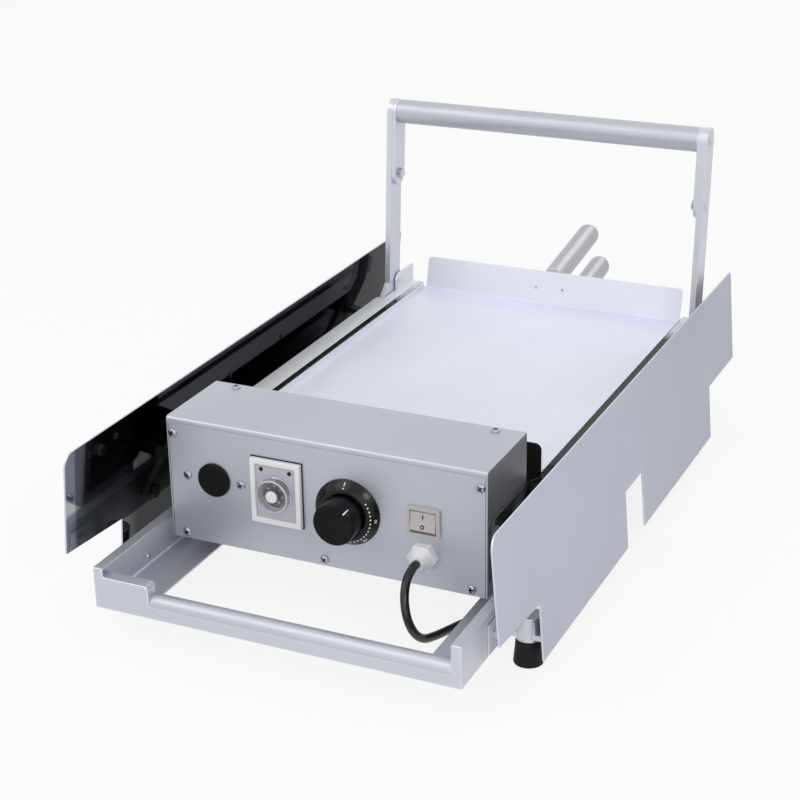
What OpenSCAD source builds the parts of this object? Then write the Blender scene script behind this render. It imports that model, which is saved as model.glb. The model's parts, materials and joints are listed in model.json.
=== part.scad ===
// Double-layer batch bun toaster with a lift carriage, a lever handle and a front control box.
// Measured from the machine's own datum: X from its centre plane, Y from the front face of the
// control box (positive to the back), Z from the underside of the control box.

/* [Control box] */
// Width of the control box
box_w = 300; // [280:1:330]
// Height of the control box
box_h = 115; // [112:1:130]
// Depth of the control box, front to back
box_d = 87; // [82:1:100]
// Sheet thickness of the control box
box_t = 1.5; // [1:0.1:2]
// Radius of the top cover's front fold
cover_fold_r = 3; // [2.5:0.1:4]
// Depth of the top cover's front lip below the fold
cover_lip_h = 2; // [1.5:0.1:4]
// Width of the screw flanges inside the box
box_flange_w = 14; // [12:0.5:18]
// Gap between the front panel, the top cover and their neighbours
cover_gap = 0.2; // [0.1:0.05:0.4]

/* [Screws] */
// Head diameter of the panel screws
screw_head_d = 8; // [7:0.1:9]
// Head height of the panel screws
screw_head_h = 2.4; // [1.5:0.1:3]
// Shank diameter of the panel screws
screw_d = 3.4; // [3:0.1:4]
// Shank length of the panel screws
screw_len = 7; // [6:0.5:9]
// Radial clearance of the holes round screws and studs
hole_gap = 0.1; // [0.05:0.05:0.3]
// Distance of the upper panel screws from the box ends
corner_screw_in = 6; // [5.5:0.5:8]
// Height of the upper panel screws
corner_screw_z = 100; // [95:1:104]
// Distance of the lower panel screws from the box ends
foot_screw_in = 14; // [10:1:40]
// Height of the lower panel screws
foot_screw_z = 6; // [5.5:0.5:8]
// Distance of the top cover screws from the box ends
cover_screw_in = 25; // [15:1:60]
// Distance of the top cover screws from the back of the box
cover_screw_back = 8; // [6:0.5:9]

/* [Panel fittings] */
// Distance of the buzzer from the centre plane
buzzer_x = 105; // [98:1:115]
// Height of the row of buzzer, timer and switch
fitting_z = 62; // [60:1:66]
// Diameter of the buzzer's front
buzzer_d = 31; // [26:1:36]
// Diameter of the buzzer's body behind the panel
buzzer_body_d = 26; // [20:1:30]
// Depth of the buzzer's body
buzzer_depth = 20; // [12:1:30]
// Distance of each buzzer screw from the buzzer's centre
buzzer_screw_x = 26.5; // [24:0.5:30]
// Proud height of the buzzer, bezels and plates
fitting_proud = 2.5; // [2:0.1:4]
// Distance of the timer from the centre plane
timer_x = 43; // [38:1:46]
// Width of the timer bezel
timer_w = 48; // [44:1:52]
// Height of the timer bezel
timer_h = 60; // [54:1:64]
// Proud height of the timer bezel
timer_proud = 5; // [4:0.5:7]
// Overlap of the timer and switch bezels on the panel
bezel_lap = 2; // [1.5:0.1:2.2]
// Rim width of the timer bezel
timer_rim = 5; // [4:0.5:7]
// Depth of the timer's body behind the panel
timer_depth = 50; // [40:1:60]
// Diameter of the timer's clear dial
dial_d = 32; // [26:1:34]
// Height of the timer's dial above its face
dial_h = 6; // [5:0.5:9]
// Setback of the timer's face in its bezel
dial_sink = 2; // [1:0.5:3]
// Proud height of the timer's hub over its dial
hub_proud = 2; // [1:0.5:4]
// Diameter of the timer's hub
hub_d = 9; // [8:0.5:11]
// Diameter of the timer and thermostat shafts
shaft_d = 6; // [5:0.5:7]
// Radial running clearance of shafts, pins and studs in their bores
run_gap = 0.05; // [0.02:0.01:0.1]
// Distance of the thermostat from the centre plane
knob_x = 23.5; // [20:0.5:27]
// Height of the thermostat
knob_z = 56; // [54:0.5:60]
// Diameter of the thermostat's scale ring
ring_d = 60; // [54:1:62]
// Diameter of the scale ring's inner rim
ring_rim_d = 46; // [43:1:50]
// Height of the scale ring
ring_h = 9; // [6:0.5:12]
// Height of the scale ring's outer edge
ring_edge_h = 2; // [1:0.5:3]
// Diameter of the thermostat's knob
knob_d = 38; // [34:1:40]
// Distance of the knob's face from the panel
knob_reach = 29; // [25:1:34]
// Edge radius of the knob's face
knob_edge_r = 3; // [2:0.5:4]
// Gap between the knob and the panel
knob_foot = 1; // [0.5:0.1:1.5]
// Gap between the knob and the scale ring
knob_gap = 0.8; // [0.5:0.1:1.2]
// Width of the thermostat's body
stat_w = 36; // [32:1:40]
// Depth of the thermostat's body
stat_depth = 38; // [30:1:44]
// Diameter of the thermostat's threaded neck
neck_d = 12; // [11:0.5:14]
// Diameter of the washer on the threaded neck
neck_washer_d = 20; // [17:0.5:24]
// Diameter of the thermostat's capillary tube
capillary_d = 2.4; // [2:0.1:3]
// Distance of the thermostat's bulb inside the platen
bulb_in = 10; // [5:1:30]
// Length of the thermostat's bulb
bulb_len = 90; // [60:1:120]
// Distance of the switch and gland from the centre plane
switch_x = 93.5; // [86:0.5:100]
// Width of the switch bezel
switch_w = 30; // [28:0.5:34]
// Height of the switch bezel
switch_h = 27; // [25:0.5:28]
// Width of the rocker
rocker_w = 23; // [20:0.5:24]
// Radius of the rocker's round ends about its pivot
rocker_r = 10; // [9:0.25:10.5]
// Tilt of the rocker to each side
rocker_tilt = 8; // [5:0.5:9]
// Depth of the switch body behind the panel
switch_depth = 26; // [22:1:34]

/* [Cable gland] */
// Height of the gland
gland_z = 28.5; // [26:0.5:30]
// Width of the gland's hexagon across its flats
gland_af = 23; // [20:0.5:25]
// Length of the gland's hexagon
gland_hex_h = 7; // [5:0.5:9]
// Length of the gland's dome
gland_dome_h = 9; // [7:0.5:12]
// Wall of the gland's dome round the cord
gland_tip_wall = 2.5; // [2:0.1:3.5]
// Length of the gland's thread behind its lock nut
gland_thread_end = 2; // [1:0.5:4]
// Diameter of the gland's thread
gland_thread_d = 16; // [14:0.5:18]
// Thickness of the gland's lock nut
gland_nut_h = 5; // [4:0.5:7]
// Diameter of the power cord
cord_d = 7.5; // [6.5:0.1:8]

/* [Inside the box] */
// Width of the contactor
contactor_w = 44; // [36:1:48]
// Depth of the contactor
contactor_d = 36; // [30:1:40]
// Height of the contactor's base
contactor_h = 33; // [28:1:38]
// Distance between the terminals
terminal_pitch = 9; // [8.5:0.5:10]
// Width of each terminal
terminal_w = 8; // [6:0.5:8]
// Depth of the terminals
terminal_d = 20; // [16:1:24]
// Height of the terminals
terminal_h = 18; // [14:1:22]
// Gap between the contactor or the terminals and the box's back
inside_gap = 7; // [5:0.5:10]

/* [Side plates] */
// Gap between the control box and the inner walls
wall_gap = 0.5; // [0.3:0.1:0.9]
// Thickness of the inner walls
wall_t = 2; // [1.5:0.1:2.5]
// Height of the walls' outward flanges above the box underside
flange_z = 62; // [60:0.5:66]
// Lower edge of the walls behind the box
wall_low_z = 26; // [22:0.5:28]
// Upper edge of the walls beside the box
wall_ear_z = 70; // [68:0.5:76]
// Lower edge of the walls beside the box
wall_ear_low_z = 14; // [12:0.5:18]
// Setback of the walls' front edge from the box front
wall_front_in = 5; // [3:0.5:9]
// Corner radius of the walls' front edge
wall_corner_r = 12; // [8:0.5:16]
// Distance from the box's back to the walls' flange
flange_behind = 26; // [22:0.5:30]
// Distance from the panel standoffs to the box's back
standoff_before = 37; // [30:1:45]
// Distance from the walls' upper edge to the standoffs and the box bolts
ear_bolt_drop = 17; // [14:0.5:20]
// Distance from the walls' front edge to the box bolts
box_bolt_in = 15; // [10:0.5:20]
// Height of the upright tabs at the back of the walls
tab_h = 18; // [14:0.5:24]
// Distance from the lever's pivot to the tabs
tab_behind = 27; // [26:0.5:34]
// Length of the upright tabs
tab_len = 44; // [36:1:50]
// Length of the walls behind the lever's pivot
wall_tail = 65; // [60:1:72]
// Gap between the wall and the carriage rail's lip
rail_gap = 7.5; // [6:0.5:10]
// Gap between the lever arms and the flanges on both sides
arm_gap = 1.5; // [1:0.1:2]
// Gap between the flanges' outer edge and the side panels at the top
panel_gap = 14.5; // [12:0.5:18]
// Thickness of the side panels
panel_t = 1.5; // [1:0.1:2]
// Lean of the side panels, outwards to the bottom
panel_lean = 4.5; // [3:0.1:5]
// Height of the side panels' top edge
panel_top_z = 109; // [106:0.5:112]
// Reach of the side panels in front of the box
panel_front = 95.5; // [85:0.5:100]
// Length of the side panels
panel_len = 670; // [650:1:690]
// Height of the side panels at their main part
panel_h = 152; // [146:0.5:156]
// Height of the side panels at their ends
panel_end_h = 96; // [88:0.5:100]
// Drop of the panels' raised front edge towards the notch
panel_end_slope = 6; // [0:0.5:8]
// Length of the raised front end of the side panels
panel_front_len = 87; // [80:0.5:92]
// Length of the raised rear end of the side panels
panel_rear_len = 90; // [80:0.5:96]
// Distance from the panel's front edge to its hand notch
notch_at = 307; // [290:1:320]
// Length of the hand notch
notch_len = 49; // [40:1:60]
// Corner radius of the panels' top front
panel_front_r = 12; // [8:0.5:16]
// Corner radius of the panels' top back
panel_rear_r = 4; // [2:0.5:8]

/* [Linkage] */
// Distance from the box's back to the front link pivot
pivot_behind = 53; // [50:0.5:58]
// Distance between the front and the rear pivots
pivot_span = 342; // [330:1:350]
// Height of the fixed pivots
pivot_z = 41; // [40:0.5:43]
// Length of the links between their pivots
link_len = 77; // [74:0.5:80]
// Angle of the links below the horizontal with the carriage down
link_angle = 41.5; // [40:0.5:44]
// Width of the front links
link_w = 20; // [16:0.5:22]
// Lift of the carriage
lift = 20; // [14:0.5:21]
// Diameter of the fixed pivot studs
stud_d = 10; // [8:0.5:11]
// Diameter of the spacers on the studs
spacer_d = 15; // [13:0.5:16]
// Diameter of the carriage pins
pin_d = 8; // [6:0.5:9]
// Diameter of the carriage pins' heads
pin_head_d = 13; // [12:0.5:15]
// Radial clearance of the front links' lower holes
open_gap = 0.6; // [0.4:0.1:0.8]
// Axial clearance of the links on their studs and pins
side_gap = 0.4; // [0.3:0.05:0.6]
// Thickness of the collars on studs and pins
collar_t = 4; // [3:0.5:5]

/* [Lever handle] */
// Width of the lever arms
arm_w = 26; // [22:0.5:27]
// Thickness of the lever arms
arm_t = 6; // [5:0.5:7]
// Distance from the lever's pivot to the bend of its arms
bend_len = 39; // [36:0.5:42]
// Length of the lever arms above the bend
arm_len = 194; // [170:1:210]
// Backward lean of the lever arms
arm_lean = 4.2; // [2:0.2:6]
// Diameter of the handle tube
handle_d = 25; // [22:0.5:25.5]
// Wall of the handle tube and the tray grips
tube_wall = 2; // [1.5:0.1:3]
// Thickness of the brackets at the ends of the handle tube
bracket_t = 4; // [3:0.5:5]
// Length of the brackets, tube axis to bolt
bracket_len = 67; // [60:1:80]
// Diameter of the handle bolts
bolt_d = 6; // [5:0.5:7]
// Width of bolt heads and nuts across their flats
bolt_af = 10; // [9:0.5:12]
// Height of bolt heads and nuts
bolt_head_h = 4; // [3:0.5:5]

/* [Carriage] */
// Height of the carriage rails
rail_h = 38; // [36:0.5:40]
// Width of the rails' top lip
rail_w = 9; // [8:0.5:10]
// Width of the rails' floor, outside to inside
rail_floor_w = 42; // [38:0.5:46]
// Sheet thickness of the carriage
rail_t = 1.5; // [1.2:0.1:2]
// Height of the carriage pins above the rail's underside
rail_pin_h = 16; // [15:0.5:18]
// Reach of the carriage in front of the front pins
rail_reach = 182; // [170:1:190]
// Length of the rails behind the rear pins
rail_tail = 76; // [60:1:90]
// Diameter of the carriage's grip bar
grip_d = 17; // [15:0.5:17.5]
// Height of the grip bar's top below the rail's top
grip_drop = 18; // [14:0.5:18.5]
// Width of the front wall's left shoulder
shoulder_w = 53; // [48:1:80]
// Corner radius of the front wall's left shoulder
shoulder_r = 4; // [3:0.5:8]
// Drop of the left shoulder below the rail's top
shoulder_drop = 8; // [2:0.5:10]
// Width of the front wall's right post
post_w = 9; // [9:0.5:24]
// Depth of the lips that are folded back from the front wall
wall_lip = 11; // [8:0.5:14]
// Gap between those lips and the rails
lip_gap = 0.3; // [0.2:0.05:0.5]
// Width of the strap across the back of the carriage
strap_w = 30; // [20:1:40]
// Length of the plates on the rails' outer faces
guide_len = 30; // [24:1:36]
// Height of the plates on the rails' outer faces
guide_h = 28; // [24:0.5:32]
// Distance from the carriage's front to the plates
guide_at = 53; // [48:1:60]

/* [Platen and trays] */
// Gap between the box's back and the heat shield
shield_gap = 33.5; // [30:0.5:36]
// Height of the heat shield's upper edge
shield_z = 90; // [80:1:100]
// Corner radius of the heat shield
shield_r = 6; // [5:0.5:12]
// Gap between the heat shield, the platen and the upper tray
shield_clear = 3; // [2:0.5:5]
// Length of the platen
platen_len = 408; // [395:1:412]
// Gap between the platen or the trays and the inner walls
platen_gap = 3; // [2:0.5:4]
// Thickness of each platen plate
plate_t = 6; // [5:0.5:7]
// Diameter of the heating elements
element_d = 6.4; // [6:0.1:7]
// Distance between the two legs of a heating element
element_w = 70; // [67:1:72]
// Distance between the heating elements
element_pitch = 96; // [92:1:98]
// Length of the elements' ends in front of the heat shield
element_reach = 14; // [10:1:20]
// Gap of the heating elements to the plates
element_gap = 0.1; // [0.05:0.05:0.3]
// Width of the angles that carry the platen
angle_w = 14; // [12:0.5:16]
// Thickness of the angles that carry the platen
angle_t = 1.5; // [1.2:0.1:2]
// Sheet thickness of the trays
tray_t = 1.5; // [1:0.1:2]
// Gap between the upper tray and the inner walls
tray_gap = 1; // [0.6:0.1:1.5]
// Height of the upper tray's side lips above its floor
tray_lip_h = 5; // [4:0.5:6]
// Length of the upper tray's floor
tray_len = 421; // [410:1:424]
// Height of the trays' rear flanges along their slope
tray_flange_h = 36; // [28:0.5:38]
// Backward lean of the trays' rear flanges
tray_flange_lean = 15; // [8:0.5:18]
// Drawn-in width of the trays' rear flanges on each side
tray_flange_in = 3; // [1:0.5:6]
// Corner radius of the trays' rear flanges
tray_flange_r = 4; // [2:0.5:8]
// Room for a bun heel between the lower tray and the platen with the carriage up
heel_h = 15; // [12:0.5:17]
// Distance of the lower tray's side legs from the box's ends
leg_in = 4; // [2:0.5:8]
// Reach of the lower tray behind the upper tray
tray_offset = 16; // [14:0.5:20]
// Gap between the lower tray's legs and the carriage floor
leg_gap = 0.3; // [0.2:0.05:0.5]
// Diameter of the tray grips
tray_grip_d = 24; // [18:0.5:25]
// Length of the upper tray's grip
upper_grip_len = 119; // [90:1:130]
// Length of the lower tray's grip
lower_grip_len = 146; // [125:1:155]
// Rise of the tray grips to the back
tray_grip_rise = 8.5; // [6:0.5:14]
// Height of the tray grips on their flanges
tray_grip_at = 25.5; // [15:0.5:27]

/* [Feet] */
// Height of the rubber feet
foot_h = 23.5; // [18:0.5:32]
// Diameter of the rubber feet at the bottom
foot_d = 26; // [22:0.5:28]
// Diameter of the rubber feet at the top
foot_top_d = 22; // [19:0.5:24]
// Diameter of the foot sockets
socket_d = 22; // [20:0.5:23]
// Height of the foot sockets
socket_h = 20; // [16:0.5:24]
// Thickness of the foot brackets
foot_bar_t = 5; // [4:0.5:6]
// Width of the foot brackets
foot_bar_w = 16; // [12:0.5:20]
// Thickness of the washers over the feet
washer_t = 2; // [1:0.5:3]
// Distance from the lever arms to the foot axis
foot_out = 7.5; // [7:0.5:11]
// Distance of the front feet behind the box front
foot_front = 10; // [5:1:30]
// Distance of the rear feet in front of the lever's pivot
foot_rear = 14; // [0:1:40]
// Gap between the carriage and the foot brackets that stop it
stop_gap = 0.3; // [0.2:0.05:0.5]

/* [Hidden] */
$fn = 48;
end_steps = 16;
eps = 0.01;

// Distances from the centre plane, from the box outwards
wall_in = box_w / 2 + wall_gap;
wall_out = wall_in + wall_t;
lip_in = wall_out + rail_gap;
rail_out = lip_in + rail_w;
arm_in = rail_out + 2 * side_gap;
arm_out = arm_in + arm_t;
flange_out = arm_out + arm_gap;
narrow_out = arm_in - arm_gap;
panel_x = flange_out + panel_gap;
foot_x = arm_out + foot_out;
floor_in = rail_out - rail_floor_w;

// The linkage at rest, with the carriage down
front_pivot_y = box_d + pivot_behind;
rear_pivot_y = front_pivot_y + pivot_span;
link_reach = link_len * cos(link_angle);
link_drop = link_len * sin(link_angle);
front_pin_y = front_pivot_y - link_reach;
rear_pin_y = rear_pivot_y - link_reach;
pin_z = pivot_z - link_drop;
lift_angle = link_angle - asin((link_drop - lift) / link_len);
lift_forward = link_len * cos(link_angle - lift_angle) - link_reach;

// The carriage
rail_low = pin_z - rail_pin_h;
rail_top = rail_low + rail_h;
floor_top = rail_low + rail_t;
carriage_front = front_pin_y - rail_reach;
rail_back = rear_pin_y + rail_tail;
grip_y = carriage_front + grip_d / 2;
grip_z = rail_top - grip_drop - grip_d / 2;
grip_x0 = -rail_out + shoulder_w;
grip_x1 = rail_out - post_w;

// The lever
bend_y = rear_pivot_y + bend_len * cos(link_angle);
bend_z = pivot_z + bend_len * sin(link_angle);
handle_y = bend_y + arm_len * sin(arm_lean);
handle_z = bend_z + arm_len * cos(arm_lean);
bracket_y = handle_y - bracket_len * sin(arm_lean);
bracket_z = handle_z - bracket_len * cos(arm_lean);
bracket_in = arm_in - bracket_t;

// The platen and the trays
shield_y = box_d + shield_gap;
platen_y = shield_y + box_t + shield_clear;
tray_y = platen_y;
tray_z = flange_z - tray_lip_h;
platen_top = tray_z - tray_t;
element_room = element_d + 2 * element_gap;
platen_low = platen_top - 2 * plate_t - element_room;
element_z = platen_low + plate_t + element_room / 2;
platen_x = wall_in - platen_gap;
tray_x = wall_in - tray_gap;
heel_z = platen_low - heel_h - lift;
leg_x = box_w / 2 - leg_in;
lower_back = tray_y + tray_len + tray_offset;

// The feet and the table under them
foot_bar_top = rail_low - stop_gap;
foot_bar_low = foot_bar_top - foot_bar_t;
table_z = foot_bar_low - washer_t - foot_h;
foot_ys = [foot_front, rear_pivot_y - foot_rear];

// The origin lies on the table, in the middle of the machine's length
grip_set = tray_grip_at * tan(tray_flange_lean);
rear_end = lower_back - tray_t + grip_set + lower_grip_len * cos(tray_grip_rise) + tray_grip_d / 2;
middle_y = (carriage_front + rear_end) / 2;

// Fittings of the front panel
front_z0 = cover_gap;
front_z1 = box_h - cover_fold_r - cover_lip_h - cover_gap;
dial_y = -timer_proud + dial_sink;
rocker_y = 3;
rocker_z = fitting_z - 2;
gland_tip = gland_hex_h + gland_dome_h;

module place() translate([0, -middle_y, -table_z]) children();
module both_sides() {
    children();
    mirror([1, 0, 0]) children();
}

// Outline helpers: arcs are round stretches of an outline
function arc(c, r, a0, a1, n = 8) =
    [for (i = [0:n]) c + r * [cos(a0 + (a1 - a0) * i / n), sin(a0 + (a1 - a0) * i / n)]];

// A plate in the YZ plane from x, thickness t to the outside; its outline is [y, z]
module yz_plate(x, t) translate([x, 0, 0]) rotate([90, 0, 90]) linear_extrude(t) children();
// A plate in the XZ plane from y to the back; its outline is [x, z]
module xz_plate(y, t) translate([0, y + t, 0]) rotate([90, 0, 0]) linear_extrude(t) children();
// A round bar along X
module rod_x(d, x0, x1, y, z) translate([x0, y, z]) rotate([0, 90, 0]) cylinder(d = d, h = x1 - x0);
// A round bar along Y
module rod_y(d, y0, y1, x, z) translate([x, y1, z]) rotate([90, 0, 0]) cylinder(d = d, h = y1 - y0);
// A hexagon along X, given across its flats
module hex_x(af, x0, x1, y, z)
    translate([x0, y, z]) rotate([0, 90, 0]) cylinder(d = af / cos(30), h = x1 - x0, $fn = 6);
// A box from its lowest to its highest corner
module block(lo, hi) translate(lo) cube(hi - lo);
// A flat bar's outline between two points, with round ends
module bar_outline(a, b, w) {
    turn = atan2(b[1] - a[1], b[0] - a[0]);
    polygon(concat(
        arc(b, w / 2, turn - 90, turn + 90, end_steps),
        arc(a, w / 2, turn + 90, turn + 270, end_steps)
    ));
}
// A rectangle with two round upper corners, centred on X
module tombstone(w, z0, z1, r) polygon(concat(
    [[-w / 2, z0], [w / 2, z0]],
    arc([w / 2 - r, z1 - r], r, 0, 90),
    arc([-w / 2 + r, z1 - r], r, 90, 180)
));

// The side panels lean, so they and what meets them are drawn in the panel's own plane
module panel_plane() translate([panel_x, 0, panel_top_z]) rotate([0, -panel_lean, 0]) children();
module outside_panel_face() {
    big = 2 * panel_len;
    panel_plane() translate([-panel_t, -big / 2, -big / 2]) cube([big, big, big]);
}
module panel_outline() {
    y0 = -panel_front;
    y1 = y0 + panel_len;
    n0 = y0 + notch_at;
    polygon(concat(
        arc([y0 + panel_front_r, -panel_front_r], panel_front_r, 180, 90),
        arc([y1 - panel_rear_r, -panel_rear_r], panel_rear_r, 90, 0),
        [
            [y1, -panel_end_h], [y1 - panel_rear_len, -panel_end_h],
            [y1 - panel_rear_len, -panel_h], [n0 + notch_len, -panel_h],
            [n0 + notch_len, -panel_end_h], [n0, -panel_end_h], [n0, -panel_h],
            [y0 + panel_front_len, -panel_h],
            [y0 + panel_front_len, -panel_end_h - panel_end_slope / 2],
            [y0, -panel_end_h + panel_end_slope / 2]
        ]
    ));
}
module side_panel() color("silver") panel_plane() yz_plate(-panel_t, panel_t) panel_outline();
module left_side_panel() mirror([1, 0, 0]) side_panel();
module right_side_panel() side_panel();

// Inner walls: an ear beside the box, a long strip with an outward flange, and an upright tab
standoff_y = box_d - standoff_before;
standoff_z = wall_ear_z - ear_bolt_drop;
angle_bolt_z = (wall_low_z + platen_low - angle_t) / 2;
angle_bolt_ys = [for (i = [1, 4, 8]) platen_y + platen_len * i / 12];
box_bolt_y = wall_front_in + box_bolt_in;
box_bolt_z = wall_ear_z - ear_bolt_drop;
flange_y = box_d + flange_behind;
module wall_outline() {
    y0 = wall_front_in;
    y1 = rear_pivot_y + wall_tail;
    polygon(concat(
        [[y0, wall_ear_low_z]],
        arc([y0 + wall_corner_r, wall_ear_z - wall_corner_r], wall_corner_r, 180, 90),
        [
            [box_d, wall_ear_z], [flange_y, flange_z], [y1, flange_z], [y1, wall_low_z],
            [box_d + flange_behind / 2, wall_low_z], [box_d, wall_ear_low_z]
        ]
    ));
}
module inner_wall() color("gray") {
    notch_y = rear_pivot_y - arm_gap;
    tab_y = rear_pivot_y + tab_behind;
    difference() {
        yz_plate(wall_in, wall_t) wall_outline();
        for (y = angle_bolt_ys) rod_x(bolt_d + 2 * hole_gap, 0, panel_x, y, angle_bolt_z);
        rod_x(bolt_d + 2 * hole_gap, 0, panel_x, box_bolt_y, box_bolt_z);
    }
    block([wall_out, flange_y, flange_z - wall_t], [flange_out, notch_y, flange_z]);
    block([wall_out, notch_y, flange_z - wall_t], [narrow_out, rear_pivot_y + wall_tail, flange_z]);
    yz_plate(narrow_out - wall_t, wall_t) polygon(concat(
        [[tab_y, flange_z]],
        arc([tab_y + tab_h / 2, flange_z + tab_h / 2], tab_h / 2, 180, 90),
        [[tab_y + tab_len, flange_z + tab_h], [tab_y + tab_len, flange_z - wall_t], [tab_y, flange_z - wall_t]]
    ));
}
module left_inner_wall() mirror([1, 0, 0]) inner_wall();
module right_inner_wall() inner_wall();

// Bolts that hold the platen's angles and the box to the walls
module wall_bolts() color("gainsboro") both_sides() {
    for (y = angle_bolt_ys) {
        rod_x(bolt_d, wall_in - angle_t - bolt_head_h, wall_out, y, angle_bolt_z);
        hex_x(bolt_af, wall_out, wall_out + bolt_head_h, y, angle_bolt_z);
    }
    rod_x(bolt_d, box_w / 2 - box_t - bolt_head_h, wall_out, box_bolt_y, box_bolt_z);
    hex_x(bolt_af, wall_out, wall_out + bolt_head_h, box_bolt_y, box_bolt_z);
}

// Rods that hold the side panels off the walls
module panel_standoffs() color("gainsboro") both_sides() difference() {
    rod_x(stud_d, wall_out, panel_x + panel_h, standoff_y, standoff_z);
    outside_panel_face();
}
module pivot_studs() color("gainsboro") both_sides() for (y = [front_pivot_y, rear_pivot_y]) difference() {
    union() {
        rod_x(spacer_d, wall_out, arm_in - side_gap, y, pivot_z);
        rod_x(stud_d, wall_out, panel_x + panel_h, y, pivot_z);
    }
    outside_panel_face();
}
module pivot_collars() color("gainsboro") both_sides() for (y = [front_pivot_y, rear_pivot_y]) difference() {
    hex_x(spacer_d, arm_out + side_gap, arm_out + side_gap + collar_t, y, pivot_z);
    rod_x(stud_d + 2 * run_gap, arm_out, panel_x, y, pivot_z);
}

// Feet: brackets on the panels, studs with washers and tapered rubber feet
module foot_brackets() color("darkgray") both_sides() for (y = foot_ys) difference() {
    union() {
        block([lip_in, y - foot_bar_w / 2, foot_bar_low],
              [panel_x + panel_h, y + foot_bar_w / 2, foot_bar_top]);
        translate([foot_x, y, foot_bar_low]) cylinder(d = socket_d, h = socket_h);
    }
    translate([foot_x, y, foot_bar_low - eps]) cylinder(d = pin_d + 2 * hole_gap, h = socket_h - foot_bar_t);
    outside_panel_face();
}
module foot_studs() color("gainsboro") both_sides() for (y = foot_ys) {
    translate([foot_x, y, foot_bar_low - washer_t]) cylinder(d = socket_d, h = washer_t);
    translate([foot_x, y, table_z + foot_h / 2]) cylinder(d = pin_d, h = foot_h / 2 + washer_t + socket_h / 2);
}
module rubber_feet() color("black") both_sides() for (y = foot_ys)
    translate([foot_x, y, table_z]) difference() {
    cylinder(d1 = foot_d, d2 = foot_top_d, h = foot_h);
    translate([0, 0, foot_h / 2]) cylinder(d = pin_d + 2 * hole_gap, h = foot_h);
}

// Platen: two plates with hairpin heating elements between them
bulb_x = knob_x;
element_xs = [-element_pitch, 0, element_pitch];
element_turn_y = platen_y + platen_len - element_w;
element_tail = shield_clear + box_t + element_reach;
module platen_top_plate() color("dimgray")
    block([-platen_x, platen_y, platen_top - plate_t], [platen_x, platen_y + platen_len, platen_top]);
module platen_bottom_plate() color("dimgray")
    block([-platen_x, platen_y, platen_low], [platen_x, platen_y + platen_len, platen_low + plate_t]);
module heating_elements() color("slategray") for (x = element_xs) {
    for (s = [-1, 1])
        rod_y(element_d, platen_y - element_tail, element_turn_y, x + s * element_w / 2, element_z);
    translate([x, element_turn_y, element_z]) rotate_extrude(angle = 180)
        translate([element_w / 2, 0]) circle(d = element_d);
}
module platen_angles() color("gray") both_sides() difference() {
    union() {
        block([wall_in - angle_t, platen_y, wall_low_z], [wall_in, platen_y + platen_len, platen_low]);
        block([wall_in - angle_w, platen_y, platen_low - angle_t],
              [wall_in, platen_y + platen_len, platen_low]);
    }
    for (y = angle_bolt_ys) rod_x(bolt_d + 2 * hole_gap, 0, panel_x, y, angle_bolt_z);
}
module heat_shield() color("black") difference() {
    xz_plate(shield_y, box_t) tombstone(2 * wall_in, platen_low, shield_z, shield_r);
    for (x = element_xs, s = [-1, 1])
        rod_y(element_d + 2 * hole_gap, 0, platen_y, x + s * element_w / 2, element_z);
    rod_y(capillary_d + 2 * hole_gap, 0, platen_y, bulb_x, element_z);
}

// Control box: an open shell, a flat front panel and a folded top cover
panel_screws = [
    [-box_w / 2 + corner_screw_in, corner_screw_z], [box_w / 2 - corner_screw_in, corner_screw_z],
    [-box_w / 2 + foot_screw_in, foot_screw_z], [0, foot_screw_z], [box_w / 2 - foot_screw_in, foot_screw_z]
];
buzzer_screw_at = [[-buzzer_x - buzzer_screw_x, fitting_z], [-buzzer_x + buzzer_screw_x, fitting_z]];
cover_screws = [-box_w / 2 + cover_screw_in, box_w / 2 - cover_screw_in];
cover_screw_y = box_d - cover_screw_back;
module panel_holes(at) for (p = at) rod_y(screw_d + 2 * hole_gap, -eps, 2 * screw_len, p[0], p[1]);
module control_box_shell() color("silver") difference() {
    x1 = box_w / 2;
    z1 = box_h - box_t - cover_gap;
    block([-x1, box_t + cover_gap, 0], [x1, box_d, z1]);
    block([-x1 + box_t, 2 * box_t + cover_gap, box_t], [x1 - box_t, box_d - box_t, z1 - box_t]);
    block([-x1 + box_flange_w, 0, box_flange_w], [x1 - box_flange_w, box_d / 2, box_h]);
    block([-x1 + box_t, 2 * box_t + cover_gap, z1 - 2 * box_t], [x1 - box_t, box_d - box_flange_w, box_h]);
    panel_holes(panel_screws);
    panel_holes(buzzer_screw_at);
    for (x = cover_screws) translate([x, cover_screw_y, z1 - 2 * box_t])
        cylinder(d = screw_d + 2 * hole_gap, h = 4 * box_t);
    for (s = [-1, 1])
        rod_x(bolt_d + 2 * hole_gap, s * x1 - box_flange_w, s * x1 + box_flange_w, box_bolt_y, box_bolt_z);
    rod_y(capillary_d + 2 * hole_gap, box_d / 2, box_d + box_t, bulb_x, element_z);
}
module panel_cutout(x, z, w, h) block([x - w / 2, -box_t, z - h / 2], [x + w / 2, 2 * box_t, z + h / 2]);
module control_front_panel() color("silver") difference() {
    block([-box_w / 2, 0, front_z0], [box_w / 2, box_t, front_z1]);
    panel_holes(panel_screws);
    panel_holes(buzzer_screw_at);
    rod_y(buzzer_body_d + 2 * hole_gap, -box_t, 2 * box_t, -buzzer_x, fitting_z);
    panel_cutout(-timer_x, fitting_z, timer_w - 2 * bezel_lap, timer_h - 2 * bezel_lap);
    rod_y(neck_d + 2 * hole_gap, -box_t, 2 * box_t, knob_x, knob_z);
    panel_cutout(switch_x, rocker_z, switch_w - 2 * bezel_lap, switch_h - 2 * bezel_lap);
    rod_y(gland_thread_d + 2 * hole_gap, -box_t, 2 * box_t, switch_x, gland_z);
}
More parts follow.
